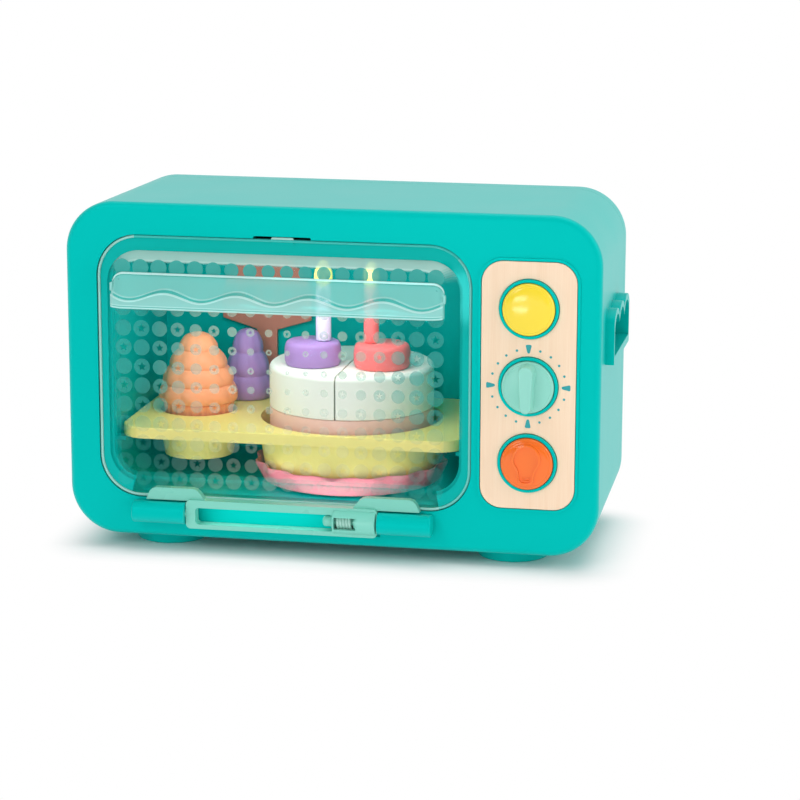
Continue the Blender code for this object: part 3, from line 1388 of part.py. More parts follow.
def door_handle(material):
    """The door's pull: a wavy-topped ledge, hollow from below for fingertips."""
    rings = [at_x(handle_section(x, reach), x) for x, reach in handle_stations()]
    handle = part("door_handle", loft(rings), material, DOOR, HINGE_POINT)
    left = RECESS_CENTRE_X - HANDLE_LENGTH / 2 + HANDLE_END_LENGTH / 2
    right = left + HANDLE_LENGTH - HANDLE_END_LENGTH
    base = BULGE_FRONT - SEAT_GAP - HANDLE_SKIN
    front = HANDLE_FRONT + HANDLE_SKIN
    low = WAVE_LINE - WAVE_HEIGHT - HANDLE_EDGE_RADIUS - HANDLE_SKIN
    pocket = [
        (base, HANDLE_BOTTOM - OVERRUN),
        (base, HANDLE_TOP - 2 * HANDLE_SKIN),
        ((base + front) / 2, low + HANDLE_STEP),
        (front, low),
        (front, HANDLE_BOTTOM - OVERRUN),
    ]
    cut(handle, beam(pocket, left, right))
    return handle


def shoulder(inner, outer):
    """A shoulder of the yoke over a barrel, as (x, z), from its inner end to its outer end."""
    foot = HINGE_HEIGHT + BARREL_RADIUS + SHOULDER_CLEARANCE
    inner_z = YOKE_BAND_TOP - SINK
    points = [(inner, foot)]
    for share in evenly(0, 1, 2 * CORNER_STEPS)[:-1]:
        x = inner + (outer - inner) * share
        if share <= SHOULDER_PEAK_SHARE:
            lift = math.sin(QUARTER_TURN * share / SHOULDER_PEAK_SHARE)
            points.append((x, inner_z + (SHOULDER_LIFT - inner_z) * lift))
        else:
            past = (share - SHOULDER_PEAK_SHARE) / (1 - SHOULDER_PEAK_SHARE)
            points.append((x, foot + (SHOULDER_LIFT - foot) * math.cos(QUARTER_TURN * past)))
    return points + [(outer, foot)]


def door_yoke(material):
    """The carrier on the hinge line: band, shoulders, cheek, slot rail and spring cage."""
    back = FLANGE_FRONT - RIM_RISE - SEAT_GAP
    axis = (0, *HINGE_POINT[1:])
    top = plate(
        [
            (YOKE_LEFT, HINGE_HEIGHT),
            (YOKE_RIGHT, HINGE_HEIGHT),
            (YOKE_RIGHT, YOKE_BAND_TOP),
            (YOKE_LEFT, YOKE_BAND_TOP),
        ],
        -YOKE_FRONT,
        back,
    )
    yoke = part("door_yoke", top, material, DOOR, HINGE_POINT)
    rail_top = SLOT_BOTTOM
    rail_bottom = HINGE_HEIGHT - YOKE_DROP
    rail_back = -HINGE_STANDOFF + YOKE_RAIL_DEPTH / 2
    left = shoulder(YOKE_LEFT + SHOULDER_INNER_REACH, YOKE_LEFT - SHOULDER_OUTER_REACH)
    right = shoulder(YOKE_RIGHT - SHOULDER_INNER_REACH, YOKE_RIGHT + SHOULDER_OUTER_REACH)
    join(
        yoke,
        plate(left, -SHOULDER_FRONT, back),
        plate(right, -SHOULDER_FRONT, back),
        rod(YOKE_DROP, YOKE_LEFT, YOKE_LEFT + YOKE_CHEEK, "X", axis),
        rod(HOUSING_RADIUS, CAGE_LEFT, YOKE_RIGHT, "X", axis),
        box(
            YOKE_LEFT + SINK,
            CAGE_LEFT + SINK,
            rail_back - YOKE_RAIL_DEPTH,
            rail_back,
            rail_bottom,
            rail_top,
        ),
    )
    bore = peg(PIN_RADIUS + SEAT_GAP, CAGE_LEFT - OVERRUN, YOKE_RIGHT + OVERRUN, "X", axis)
    room = PIN_COLLAR_RADIUS + RUNNING_GAP
    cage = peg(room, CAGE_LEFT + CAGE_WALL, BLOCK_LEFT, "X", axis)
    mouth = box(
        CAGE_LEFT + CAGE_WALL,
        BLOCK_LEFT,
        -HINGE_STANDOFF - HOUSING_RADIUS - OVERRUN,
        -HINGE_STANDOFF - HOUSING_RADIUS / 2,
        HINGE_HEIGHT - HOUSING_RADIUS / 2,
        HINGE_HEIGHT + HOUSING_RADIUS / 2,
    )
    slot = box(
        YOKE_LEFT + YOKE_CHEEK,
        CAGE_LEFT,
        -YOKE_FRONT - OVERRUN,
        back + OVERRUN,
        rail_top,
        SLOT_TOP,
    )
    cut(yoke, slot, cage, mouth, bore)
    join(yoke, peg(PIN_RADIUS, YOKE_LEFT - PIN_REACH, YOKE_LEFT + YOKE_CHEEK / 2, "X", axis))
    return yoke


def release_pin(mint, steel):
    """The sprung pin that holds the door's right end, with the nub that draws it out."""
    axis = (0, *HINGE_POINT[1:])
    collar_end = BLOCK_LEFT - SEAT_GAP
    collar = collar_end - PIN_COLLAR_LENGTH
    nub_end = CAGE_LEFT - SEAT_GAP
    nub_start = nub_end - NUB_LENGTH
    profile = [
        (NUB_RADIUS / 2, nub_start),
        (NUB_RADIUS, nub_start + NUB_RADIUS / 2),
        (NUB_RADIUS, nub_end),
        (PIN_RADIUS, nub_end),
        (PIN_RADIUS, collar),
        (PIN_COLLAR_RADIUS, collar),
        (PIN_COLLAR_RADIUS, collar_end),
        (PIN_RADIUS, collar_end),
        (PIN_RADIUS, YOKE_RIGHT + PIN_REACH - PIN_RADIUS / 2),
        (PIN_RADIUS / 2, YOKE_RIGHT + PIN_REACH),
    ]
    origin = (nub_end, *HINGE_POINT[1:])
    carrier = empty("release_pin_travel", origin, DOOR)
    part("release_pin", turned(profile, "X", axis, SMALL_ROUND_STEPS), mint, carrier, origin)
    coil(
        "pin_spring",
        PIN_SPRING_RADIUS,
        PIN_SPRING_WIRE,
        PIN_SPRING_TURNS,
        CAGE_LEFT + CAGE_WALL + SEAT_GAP,
        collar - SEAT_GAP,
        "X",
        axis,
        steel,
        DOOR,
        origin,
    )


# Tray and play food


def tray(material):
    """The baking tray: a skirted top with a round pan and a cup well hanging from it."""
    centre = (RECESS_CENTRE_X, TRAY_CENTRE_Y)
    wall = TRAY_THICKNESS
    outer = rounded(TRAY_WIDTH, TRAY_LENGTH, TRAY_RADIUS, centre)
    inner = rounded(TRAY_WIDTH - 2 * wall, TRAY_LENGTH - 2 * wall, TRAY_RADIUS - wall, centre)
    skirt_foot = TRAY_TOP - TRAY_SKIRT
    rings = [
        at_z(outer, TRAY_TOP),
        at_z(outer, skirt_foot),
        at_z(inner, skirt_foot),
        at_z(inner, TRAY_TOP - wall),
    ]
    item = part("tray", loft(rings), material, OVEN, (*centre, skirt_foot))
    wells = (
        (PAN_CENTRE_X, PAN_RADIUS, PAN_TAPER, PAN_FLOOR),
        (CUP_CENTRE_X, CUP_RADIUS, CUP_TAPER, CUP_FLOOR),
    )
    for x, radius, taper, floor in wells:
        middle = (x, TRAY_CENTRE_Y, 0)
        well = [(radius - taper + wall, floor - wall), (radius + wall, TRAY_TOP - wall / 2)]
        join(item, turned(well, "Z", middle))
    for x, radius, taper, floor in wells:
        middle = (x, TRAY_CENTRE_Y, 0)
        slope = taper / (TRAY_TOP - floor)
        hollow = [(radius - taper, floor), (radius + slope * OVERRUN, TRAY_TOP + OVERRUN)]
        cut(item, turned(hollow, "Z", middle))


def quarter(radius, side_x, side_y, bottom, top, edge):
    """A quarter of a round cake beside its two cuts, softened at its top edge."""
    start = {(1, 1): 0, (-1, 1): 1, (-1, -1): 2, (1, -1): 3}[(side_x, side_y)] * QUARTER_TURN
    corner = (PAN_CENTRE_X + side_x * CAKE_CUT / 2, TRAY_CENTRE_Y + side_y * CAKE_CUT / 2)
    rings = []
    for height, inset in ((bottom, 0), (top - edge, 0), (top - edge / 3, edge / 3), (top, edge)):
        outline = arc(corner, radius - inset - CAKE_CUT / 2, start, start + QUARTER_TURN, 2 * CORNER_STEPS)
        rings.append(at_z([corner] + outline, height))
    return loft(rings)


def cake(cream, pink):
    """A round cake in the pan: a pink layer under four white slices."""
    wide = CAKE_RADIUS
    layer = [(wide, CAKE_FOOT), (wide, CAKE_FOOT + CAKE_LAYER_HEIGHT)]
    centre = (PAN_CENTRE_X, TRAY_CENTRE_Y, 0)
    part("cake_layer", turned(layer, "Z", centre), pink, OVEN, (*centre[:2], CAKE_FOOT))
    sides = (("front_left", -1, -1), ("front_right", 1, -1), ("rear_left", -1, 1), ("rear_right", 1, 1))
    for name, side_x, side_y in sides:
        mesh = quarter(wide, side_x, side_y, CAKE_SEAM, CAKE_TOP, CAKE_EDGE_RADIUS)
        part(f"cake_slice_{name}", mesh, cream, OVEN, (*centre[:2], CAKE_SEAM))


def swirl_profile(foot, height, radius, tip):
    """A piped swirl's outline: three rolls of icing, each smaller than the one below."""
    profile = []
    for roll in range(SWIRL_ROLLS):
        low = roll / SWIRL_ROLLS
        reach = radius + (tip - radius) * low
        following = radius + (tip - radius) * (low + 1 / SWIRL_ROLLS)
        for share in evenly(0, 1, SWIRL_STEPS):
            bulge = math.sin(2 * QUARTER_TURN * share) * SWIRL_BULGE
            profile.append((
                reach + (following - reach) * share**2 + bulge,
                foot + height * (low + share / SWIRL_ROLLS) - SINK * (share == 1),
            ))
    profile.append((tip / 2, foot + height))
    return profile


def cupcake(name, centre, foot, material):
    """A cupcake: a tapered case under a wide piped swirl."""
    case_top = foot + CUPCAKE_CASE_HEIGHT
    profile = [(CUPCAKE_RADIUS, foot), (CUPCAKE_RADIUS + SINK, foot + SINK), (CUPCAKE_NECK_RADIUS, case_top)]
    profile += swirl_profile(case_top + SINK, CUPCAKE_TOP_HEIGHT, CUPCAKE_RIM_RADIUS, CUPCAKE_TIP_RADIUS)
    mesh = turned(profile, "Z", (*centre, 0), MIDDLE_ROUND_STEPS)
    part(name, mesh, material, OVEN, (*centre, foot))


def cupcakes(peach, lilac):
    """A cupcake in the cup well, and a loose swirl on the tray's top behind it."""
    cupcake("cupcake_orange", (CUP_CENTRE_X, TRAY_CENTRE_Y), CUP_FLOOR + SEAT_GAP, peach)
    across = CUP_CENTRE_X + LOOSE_SWIRL_SHIFT_SHARE * CUP_RADIUS - LOOSE_SWIRL_SHIFT
    behind = TRAY_CENTRE_Y + TRAY_LENGTH / 2 - LOOSE_SWIRL_BACK_MARGIN - LOOSE_SWIRL_RADIUS
    foot = TRAY_TOP + SEAT_GAP
    profile = swirl_profile(foot, LOOSE_SWIRL_HEIGHT, LOOSE_SWIRL_RADIUS, CUPCAKE_TIP_RADIUS)
    mesh = turned(profile, "Z", (across, behind, 0), MIDDLE_ROUND_STEPS)
    part("swirl_purple", mesh, lilac, OVEN, (across, behind, foot))


def toppings(lilac, coral, lavender, candle_coral, flame_finish):
    """Two icing tops on the cake, each with a candle, and a flame on each candle."""
    sets = (
        ("purple", -1, lilac, lavender),
        ("coral", 1, coral, candle_coral),
    )
    for colour, side, icing, wax in sets:
        centre = (PAN_CENTRE_X + side * TOPPING_SPREAD, TRAY_CENTRE_Y - TOPPING_FORWARD)
        foot = CAKE_TOP + SEAT_GAP
        crown = foot + TOPPING_HEIGHT
        profile = [
            (TOPPING_RADIUS - SINK, foot),
            (TOPPING_RADIUS, foot + TOPPING_HEIGHT / 3),
            (TOPPING_RADIUS, foot + 2 * TOPPING_HEIGHT / 3),
            (TOPPING_RADIUS * TOPPING_CROWN_SHARE, crown),
        ]
        mesh = turned(profile, "Z", (*centre, 0), MIDDLE_ROUND_STEPS)
        part(f"icing_{colour}", mesh, icing, OVEN, (*centre, foot))
        low = CANDLE_FOOT
        centre = (centre[0] - side * CANDLE_SHIFT, centre[1])
        stick = [(CANDLE_RADIUS, low), (CANDLE_RADIUS, low + CANDLE_LENGTH)]
        mesh = turned(stick, "Z", (*centre, 0), SMALL_ROUND_STEPS)
        part(f"candle_{colour}", mesh, wax, OVEN, (*centre, low))
        base = low + CANDLE_LENGTH + SEAT_GAP
        flame = [
            (FLAME_RADIUS / 2, base),
            (FLAME_RADIUS, base + FLAME_LENGTH / 3),
            (FLAME_RADIUS * TOPPING_CROWN_SHARE, base + 2 * FLAME_LENGTH / 3),
            (FLAME_RADIUS / 4, base + FLAME_LENGTH),
        ]
        mesh = turned(flame, "Z", (*centre, 0), SMALL_ROUND_STEPS)
        part(f"flame_{colour}", mesh, flame_finish, OVEN, (*centre, base))


def play_plate(material):
    """A plate with a scalloped rim on the cavity's floor, under the pan."""
    centre = (PAN_CENTRE_X, TRAY_CENTRE_Y)
    foot = CAVITY_FLOOR + CAVITY_DRAFT + SEAT_GAP
    angles = evenly(0, 4 * QUARTER_TURN, 4 * PLATE_SCALLOP_COUNT)[:-1]

    def rim(radius, height, scallop):
        return [
            (
                centre[0] + (radius + scallop * math.cos(PLATE_SCALLOP_COUNT * turn)) * math.cos(turn),
                centre[1] + (radius + scallop * math.cos(PLATE_SCALLOP_COUNT * turn)) * math.sin(turn),
                height,
            )
            for turn in angles
        ]

    rings = [
        rim(PLATE_FOOT_RADIUS, foot, 0),
        rim(PLATE_RADIUS, foot + PLATE_HEIGHT - PLATE_WALL, PLATE_SCALLOP),
        rim(PLATE_RADIUS, foot + PLATE_HEIGHT, PLATE_SCALLOP),
        rim(PLATE_FOOT_RADIUS, foot + PLATE_WALL, 0),
    ]
    part("plate", loft(rings), material, OVEN, (*centre, foot))


def cake_server(material):
    """A flat cake server that stands on its handle at the back of the tray."""
    back = TRAY_CENTRE_Y + TRAY_LENGTH / 2 - SEAT_GAP
    foot = SERVER_FOOT
    top = foot + SERVER_LENGTH
    shoulder_height = foot + SERVER_LENGTH * SERVER_HANDLE_SHARE
    across = RECESS_CENTRE_X - SERVER_OFFSET
    slim = SERVER_HANDLE_WIDTH / 2
    wide = SERVER_WIDTH / 2
    outline = [
        (across - slim, foot),
        (across + slim, foot),
        (across + slim, shoulder_height),
        (across + wide, shoulder_height + slim),
        (across + wide, top - wide),
    ]
    outline += arc((across, top - wide), wide, 0, 2 * QUARTER_TURN, 2 * CORNER_STEPS)[1:]
    outline += [(across - wide, shoulder_height + slim), (across - slim, shoulder_height)]
    part("cake_server", plate(outline, back - SERVER_THICKNESS, back), material, OVEN, (across, back, foot))


# Assembly

OVEN = bpy.data.objects.new("oven", None)
OVEN.location = (-GRIP_RISE / 2, -(HANDLE_FRONT + DEPTH) / 2, FOOT_HEIGHT)
bpy.context.scene.collection.objects.link(OVEN)
DOOR = empty("door_hinge", HINGE_POINT, OVEN)


def build_oven():
    """Makes every piece of the oven."""
    teal = finish("Teal plastic", TEAL, 0.35)
    mint = finish("Mint plastic", MINT, 0.3)
    steel = finish("Steel", STEEL, 0.3, 1)
    black = finish("Black plastic", BLACK, 0.5)
    lilac = finish("Lilac plastic", LILAC, 0.4)
    body_shell(teal)
    rear_cover(teal)
    feet(teal)
    screws(steel)
    cavity_liner(finish("Dark teal plastic", DARK_TEAL, 0.45))
    lamp(finish("Lamp lens", CREAM, 0.3, 0, 0.7), finish("Lamp", YELLOW, 0.3))
    control_panel(finish("Maple veneer", MAPLE, 0.55))
    button("sound_button", STATION_HEIGHTS[0], finish("Yellow plastic", YELLOW, 0.25), steel)
    orange = finish("Orange plastic", ORANGE, 0.25)
    light = button("light_button", STATION_HEIGHTS[2], orange, steel)
    face = -COLLAR_RISE - BUTTON_RISE
    join(light, plate(bulb_outline(STATION_HEIGHTS[2]), face - BULB_RELIEF, face + BUTTON_DOME))
    timer_knob(finish("Knob mint plastic", KNOB_MINT, 0.3))
    click_leaf(steel)
    circuit_board(finish("Circuit board", BOARD_GREEN, 0.5), black)
    speaker(black)
    battery_pack(finish("Battery cell", STEEL, 0.35, 0.6), steel, teal)
    aqua = finish("Clear aqua plastic", AQUA, 0.1, 0, 0.35)
    door_window(aqua)
    door_handle(aqua)
    door_yoke(mint)
    release_pin(mint, steel)
    tray(finish("Butter plastic", BUTTER, 0.4))
    cream = finish("Cream plastic", CREAM, 0.5)
    pink = finish("Pink plastic", PINK, 0.4)
    peach = finish("Peach plastic", PEACH, 0.5)
    cake(cream, pink)
    cupcakes(peach, lilac)
    coral = finish("Coral plastic", CORAL, 0.4)
    yellow = finish("Yellow plastic", YELLOW, 0.25)
    toppings(lilac, coral, finish("Lavender plastic", LAVENDER, 0.4), coral, yellow)
    play_plate(pink)
    cake_server(finish("Rust plastic", RUST, 0.4))


build_oven()
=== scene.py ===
"""A child's countertop toy oven as it looks: teal mouldings, a clear drop-down door with printed
dots, three controls on a wooden panel, and play food on a tray. Forms are drawn in millimetres in
the oven's own frame, x across from the housing's middle, y back from its front face and z up from
its underside, and are set in place in metres at the end of each piece.
"""

from math import acos, copysign, cos, hypot, pi, radians, sin, sqrt

import bmesh
import bpy
from mathutils import Euler, Matrix, Vector


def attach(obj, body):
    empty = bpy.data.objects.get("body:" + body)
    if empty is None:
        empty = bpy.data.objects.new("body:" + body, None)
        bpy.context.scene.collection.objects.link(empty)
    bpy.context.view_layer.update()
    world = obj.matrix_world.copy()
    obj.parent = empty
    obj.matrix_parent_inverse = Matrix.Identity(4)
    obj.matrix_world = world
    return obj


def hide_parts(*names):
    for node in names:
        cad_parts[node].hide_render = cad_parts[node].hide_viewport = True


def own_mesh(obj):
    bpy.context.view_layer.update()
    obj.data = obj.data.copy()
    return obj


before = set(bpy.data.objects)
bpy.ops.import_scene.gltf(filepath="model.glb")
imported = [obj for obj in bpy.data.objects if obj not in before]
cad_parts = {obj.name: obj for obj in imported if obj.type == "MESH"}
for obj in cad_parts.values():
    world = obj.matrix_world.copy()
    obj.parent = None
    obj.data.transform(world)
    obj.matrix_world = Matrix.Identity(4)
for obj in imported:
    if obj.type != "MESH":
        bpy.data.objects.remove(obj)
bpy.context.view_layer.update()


# Housing: the front shell of the oven, one ABS moulding with the door's recess, the panel's
# seat and border, the control collars, two hinge barrels and the side finger grip. Its outside
# is finely spark eroded. The rear cover closes it, held by four screws.
TURN = 2 * pi
IN_PLACE = Matrix.Translation((-0.0022, -0.0530, 0.0070)) @ Matrix.Scale(0.001, 4)


def evenly(start, end, count):
    """Numbers from start to end in equal steps."""
    return [start + (end - start) * step / count for step in range(count + 1)]


def arc(centre, radius, start, end, steps):
    return [
        (centre[0] + radius * cos(angle), centre[1] + radius * sin(angle))
        for angle in evenly(start, end, steps)
    ]


def rounded(width, height, radius, centre=(0, 0), steps=14):
    """A rectangle with rounded corners."""
    outline = []
    for turn, (side_x, side_y) in enumerate(((1, 1), (-1, 1), (-1, -1), (1, -1))):
        corner = (
            centre[0] + side_x * (width / 2 - radius),
            centre[1] + side_y * (height / 2 - radius),
        )
        outline += arc(corner, radius, turn * TURN / 4, (turn + 1) * TURN / 4, steps)
    return outline


def framed(width, height, radius, centre, steps):
    """A rule for a rounded rectangle drawn out all round by a margin."""

    def outline(margin):
        return rounded(width + 2 * margin, height + 2 * margin, radius + margin, centre, steps)

    return outline


def at_x(outline, x):
    return [(x, y, z) for y, z in outline]


def at_y(outline, y):
    return [(x, y, z) for x, z in outline]


def at_z(outline, z):
    return [(x, y, z) for x, y in outline]


def loft(rings, closed=False):
    """A body through rings of equally many points, its ends capped or joined."""
    mesh = bmesh.new()
    loops = [[mesh.verts.new(point) for point in ring] for ring in rings]
    pairs = list(zip(loops, loops[1:]))
    if closed:
        pairs.append((loops[-1], loops[0]))
    else:
        mesh.faces.new(loops[0])
        mesh.faces.new(loops[-1])
    for near, far in pairs:
        for index in range(len(near)):
            mesh.faces.new((near[index - 1], near[index], far[index], far[index - 1]))
    bmesh.ops.recalc_face_normals(mesh, faces=mesh.faces)
    return mesh


def plate(outline, front, back):
    """An (x, z) outline with thickness along y."""
    return loft([at_y(outline, front), at_y(outline, back)])


def beam(outline, left, right):
    """A (y, z) outline with length along x."""
    return loft([at_x(outline, left), at_x(outline, right)])


def box(left, right, front, back, bottom, top):
    return plate([(left, bottom), (right, bottom), (right, top), (left, top)], front, back)


def directions(axis):
    """Unit vectors along an axis and across it."""
    along = Vector([letter == axis for letter in "XYZ"])
    across = along.orthogonal().normalized()
    return along, across, along.cross(across)


def turned(profile, axis, centre, steps=64, closed=False):
    """A turned body: profile holds (radius, distance along the axis from the centre)."""
    along, across, upward = directions(axis)
    angles = evenly(0, TURN, steps)[:-1]
    spokes = [across * cos(a) + upward * sin(a) for a in angles]
    rings = [
        [Vector(centre) + along * distance + spoke * radius for spoke in spokes]
        for radius, distance in profile
    ]
    return loft(rings, closed)


def rod(radius, start, end, axis, centre, steps=64, edge=0.0):
    """A cylinder between two distances along its axis, its rims rounded by an edge radius."""
    if not edge:
        return turned([(radius, start), (radius, end)], axis, centre, steps)
    angles = evenly(0, TURN / 4, 5)
    flat = radius - edge
    profile = [(flat + edge * sin(a), start + edge - edge * cos(a)) for a in angles]
    profile += [(flat + edge * cos(a), end - edge + edge * sin(a)) for a in angles]
    return turned(profile, axis, centre, steps)


def solid(mesh):
    """An object from a mesh, still in millimetres."""
    data = bpy.data.meshes.new("form")
    mesh.to_mesh(data)
    mesh.free()
    item = bpy.data.objects.new("form", data)
    bpy.context.scene.collection.objects.link(item)
    return item


def combine(item, operation, meshes):
    for mesh in meshes:
        step = item.modifiers.new(operation, "BOOLEAN")
        step.operation = operation
        step.object = solid(mesh)
        step.object.hide_render = True


def join(item, *meshes):
    """Joins meshes to an object, in order."""
    combine(item, "UNION", meshes)


def cut(item, *meshes):
    """Cuts meshes from an object, in order."""
    combine(item, "DIFFERENCE", meshes)


def settle(item):
    """Turns an object's modifiers into its mesh and clears the tools away."""
    tools = [step.object for step in item.modifiers if step.type == "BOOLEAN"]
    shape = item.evaluated_get(bpy.context.evaluated_depsgraph_get())
    data = bpy.data.meshes.new_from_object(shape)
    item.modifiers.clear()
    item.data = data
    for tool in tools:
        bpy.data.objects.remove(tool)


def piece(name, form, body, material, stands_for=(), edge=0.0, sharp=40):
    """A finished piece: a form with softened edges, set in place and carried by a body."""
    item = form if isinstance(form, bpy.types.Object) else solid(form)
    if item.modifiers:
        settle(item)
    if edge:
        soften = item.modifiers.new("edges", "BEVEL")
        soften.width = edge
        soften.segments = 2
        soften.angle_limit = radians(sharp)
        soften.use_clamp_overlap = True
        settle(item)
    item.name = item.data.name = name
    item.data.transform(IN_PLACE)
    item.data.shade_smooth()
    item.data.set_sharp_from_angle(angle=radians(60 if edge else sharp))
    if edge:
        item.modifiers.new("normals", "WEIGHTED_NORMAL").keep_sharp = True
        settle(item)
        item.data.name = name
    item.data.materials.clear()
    item.data.materials.append(material)
    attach(item, body)
    names = [stands_for] if isinstance(stands_for, str) else stands_for
    if names:
        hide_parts(*names)
    return item


def colour(red, green, blue):
    """A colour given in screen levels, as linear light."""
    levels = [level / 255 for level in (red, green, blue)]
    return tuple(c / 12.92 if c <= 0.04045 else ((c + 0.055) / 1.055) ** 2.4 for c in levels) + (1,)


def group(name, given):
    """An empty shader node group for a surface, from its inputs' names and values."""
    tree = bpy.data.node_groups.new(name, "ShaderNodeTree")
    sockets = [(label, "INPUT", value) for label, value in given.items()]
    sockets += [("Colour", "OUTPUT", (0, 0, 0, 1))]
    sockets += [("Roughness", "OUTPUT", 0.0), ("Height", "OUTPUT", 0.0)]
    for label, way, value in sockets:
        kind = "NodeSocketColor" if isinstance(value, tuple) else "NodeSocketFloat"
        tree.interface.new_socket(label, in_out=way, socket_type=kind).default_value = value
    return tree, tree.nodes.new("NodeGroupInput"), tree.nodes.new("NodeGroupOutput")


def feed(tree, node, inputs):
    """Sets a node's inputs, each to a value, a node's first output or a (node, output) pair."""
    for key, source in dict(inputs).items():
        if isinstance(source, bpy.types.Node):
            source = (source, 0)
        if isinstance(source, tuple) and isinstance(source[0], bpy.types.Node):
            tree.links.new(source[0].outputs[source[1]], node.inputs[key])
        else:
            node.inputs[key].default_value = source


def add(tree, kind, inputs=(), **settings):
    """A node with its settings and its inputs, its kind named as for a shader or geometry tree."""
    node = tree.nodes.new(tree.bl_idname.removesuffix("Tree") + kind)
    for key, value in settings.items():
        setattr(node, key, value)
    feed(tree, node, inputs)
    return node


def compute(tree, operation, *operands):
    return add(tree, "Math", dict(enumerate(operands)), operation=operation)


def new_material(name):
    """A new material, with its node tree and its shader."""
    material = bpy.data.materials.new(name)
    material.use_nodes = True
    return material, material.node_tree, material.node_tree.nodes["Principled BSDF"]


def moulded_surface():
    """Moulded plastic: slow drifts of tone, and the fine grain of a spark-eroded mould."""
    values = {"Colour": (0.5, 0.5, 0.5, 1), "Tone drift": 0.04, "Gloss": 0.35, "Gloss drift": 0.05}
    tree, given, made = group("Moulded surface", values | {"Grain per metre": 2400.0})
    where = (add(tree, "TexCoord"), "Object")
    drifts = {"Vector": where, "Scale": 28.0, "Detail": 3.0}
    grain = {"Vector": where, "Scale": (given, "Grain per metre"), "Detail": 2.0}
    slow = add(tree, "TexNoise", drifts)
    fine = add(tree, "TexNoise", grain)
    centred = compute(tree, "SUBTRACT", (slow, "Fac"), 0.5)
    drift = compute(tree, "MULTIPLY_ADD", centred, (given, "Tone drift"), 1.0)
    tone = {0: (given, "Colour"), "Scale": drift}
    toned = add(tree, "VectorMath", tone, operation="SCALE")
    rough = compute(tree, "MULTIPLY_ADD", centred, (given, "Gloss drift"), (given, "Gloss"))
    feed(tree, made, {"Colour": toned, "Roughness": rough, "Height": (fine, "Fac")})
    return tree


MOULDED = moulded_surface()
COARSE_GRAIN = 0.00002
FINE_GRAIN = 0.000006
POLISHED = 0.000004


def plastic(name, levels, gloss, grain=2400.0, grain_depth=COARSE_GRAIN, drift=0.04, constants=()):
    """A moulded plastic in a colour of screen levels, with constants on the shader's sockets."""
    material, tree, shader = new_material(name)
    tone = colour(*levels)
    values = {"Colour": tone, "Gloss": gloss, "Tone drift": drift, "Grain per metre": grain}
    surface = add(tree, "Group", values, node_tree=MOULDED)
    relief = {"Strength": 1.0, "Distance": grain_depth, "Height": (surface, "Height")}
    feed(tree, shader, {
        "Base Color": (surface, "Colour"),
        "Roughness": (surface, "Roughness"),
        "Normal": add(tree, "Bump", relief),
    })
    feed(tree, shader, constants)
    material.diffuse_color = tone
    return material


teal_shine = {"Specular Tint": (0.02, 0.9, 0.9, 1)}
teal = plastic("Teal plastic", (0, 190, 182), 0.36, constants=teal_shine)

WIDTH, DEPTH, HEIGHT = 290, 127, 183
DRAFT = 2.2
CORNER_RADIUS = 27
EDGE_RADIUS = 3.5
WALL = 2.6
SHELL_DEPTH = 113


def housing_ring(y, inset):
    """The housing's outline at depth y, drawn in by the mould's draft and by an inset."""
    drawn = DRAFT * y / DEPTH
    width = WIDTH - 2 * drawn - 2 * inset
    height = HEIGHT - drawn - 2 * inset
    return at_y(rounded(width, height, CORNER_RADIUS - inset, (0, (HEIGHT - drawn) / 2), 20), y)


def edge_rings(face, toward):
    """The housing's outlines round its softened front or rear edge."""
    inward = toward * EDGE_RADIUS
    return [
        housing_ring(face + inward * (1 - cos(a)), EDGE_RADIUS * (1 - sin(a)))
        for a in evenly(0, TURN / 4, 7)
    ]


GRIP_FRONT, GRIP_BACK = 22.5, 86
GRIP_LEDGE, GRIP_CUSPS = 105.5, 120.3
GRIP_ARCH = 6.2


def grip_outline(margin):
    """The finger grip's opening as (y, z): a flat ledge, upright ends and three finger arches."""
    ledge = GRIP_LEDGE - 1.9 * margin
    outline = [(GRIP_FRONT - margin, ledge), (GRIP_BACK + margin, ledge)]
    for share in evenly(1, 0, 72):
        along = GRIP_FRONT - margin + (GRIP_BACK - GRIP_FRONT + 2 * margin) * share
        arch = GRIP_ARCH * abs(sin(3 * pi * share)) ** 0.6
        outline.append((along, GRIP_CUSPS + arch + 1.5 * margin))
    return outline


DOOR_X, DOOR_Z = -25.55, 93.65
MOUTH_Z = 91.9
PANEL_X, PANEL_Z = 106.85, 92.35
recess_outline = framed(204.5, 144.3, 23, (DOOR_X, DOOR_Z), 18)
mouth_outline = framed(195.5, 138.8, 18.5, (DOOR_X, MOUTH_Z), 16)
panel_outline = framed(50.3, 132.5, 11.5, (PANEL_X, PANEL_Z), 14)
AXIS = (0, -4.7, 14.9)
CRADLE_RADIUS = 10.1
BARREL_RADIUS = 6
BARREL_BORE = 2.4
STATIONS = (133.65, PANEL_Z, 51.05)
COLLAR_RADIUS, GUIDE_RADIUS, CAP_RADIUS = 15.8, 14.3, 13.9
GUIDE_END = 7.5
POSTS = [(x, z) for x in (-129.5, 129.5) for z in (15.5, 167.5)]
PILOT_RADIUS = 1.7
FEET = [(x, y) for x in (-95.5, 95.5) for y in (29.8, 83.2)]
rings = edge_rings(0, 1) + [housing_ring(SHELL_DEPTH, 0), housing_ring(SHELL_DEPTH, WALL)]
rings += [housing_ring(2 * WALL, WALL), housing_ring(WALL, 2 * WALL)]
shell = solid(loft(rings))
cradle = CRADLE_RADIUS + WALL
reach = acos((4.7 + 0.8) / cradle)
join(
    shell,
    plate(recess_outline(WALL), 0.8, 4.5 + WALL),
    beam(arc(AXIS[1:], cradle, -reach, reach, 32), -81.25, 30.15),
    rod(BARREL_RADIUS, -107.85, 56.75, "X", AXIS, 56, 1.0),
    plate(panel_outline(1.8), -0.7, 0.8),
    beam(grip_outline(2.2), 126.3, 149.4),
    *[rod(4.2, 0.8, 110, "Y", (x, 0, z), 32) for x, z in POSTS],
)
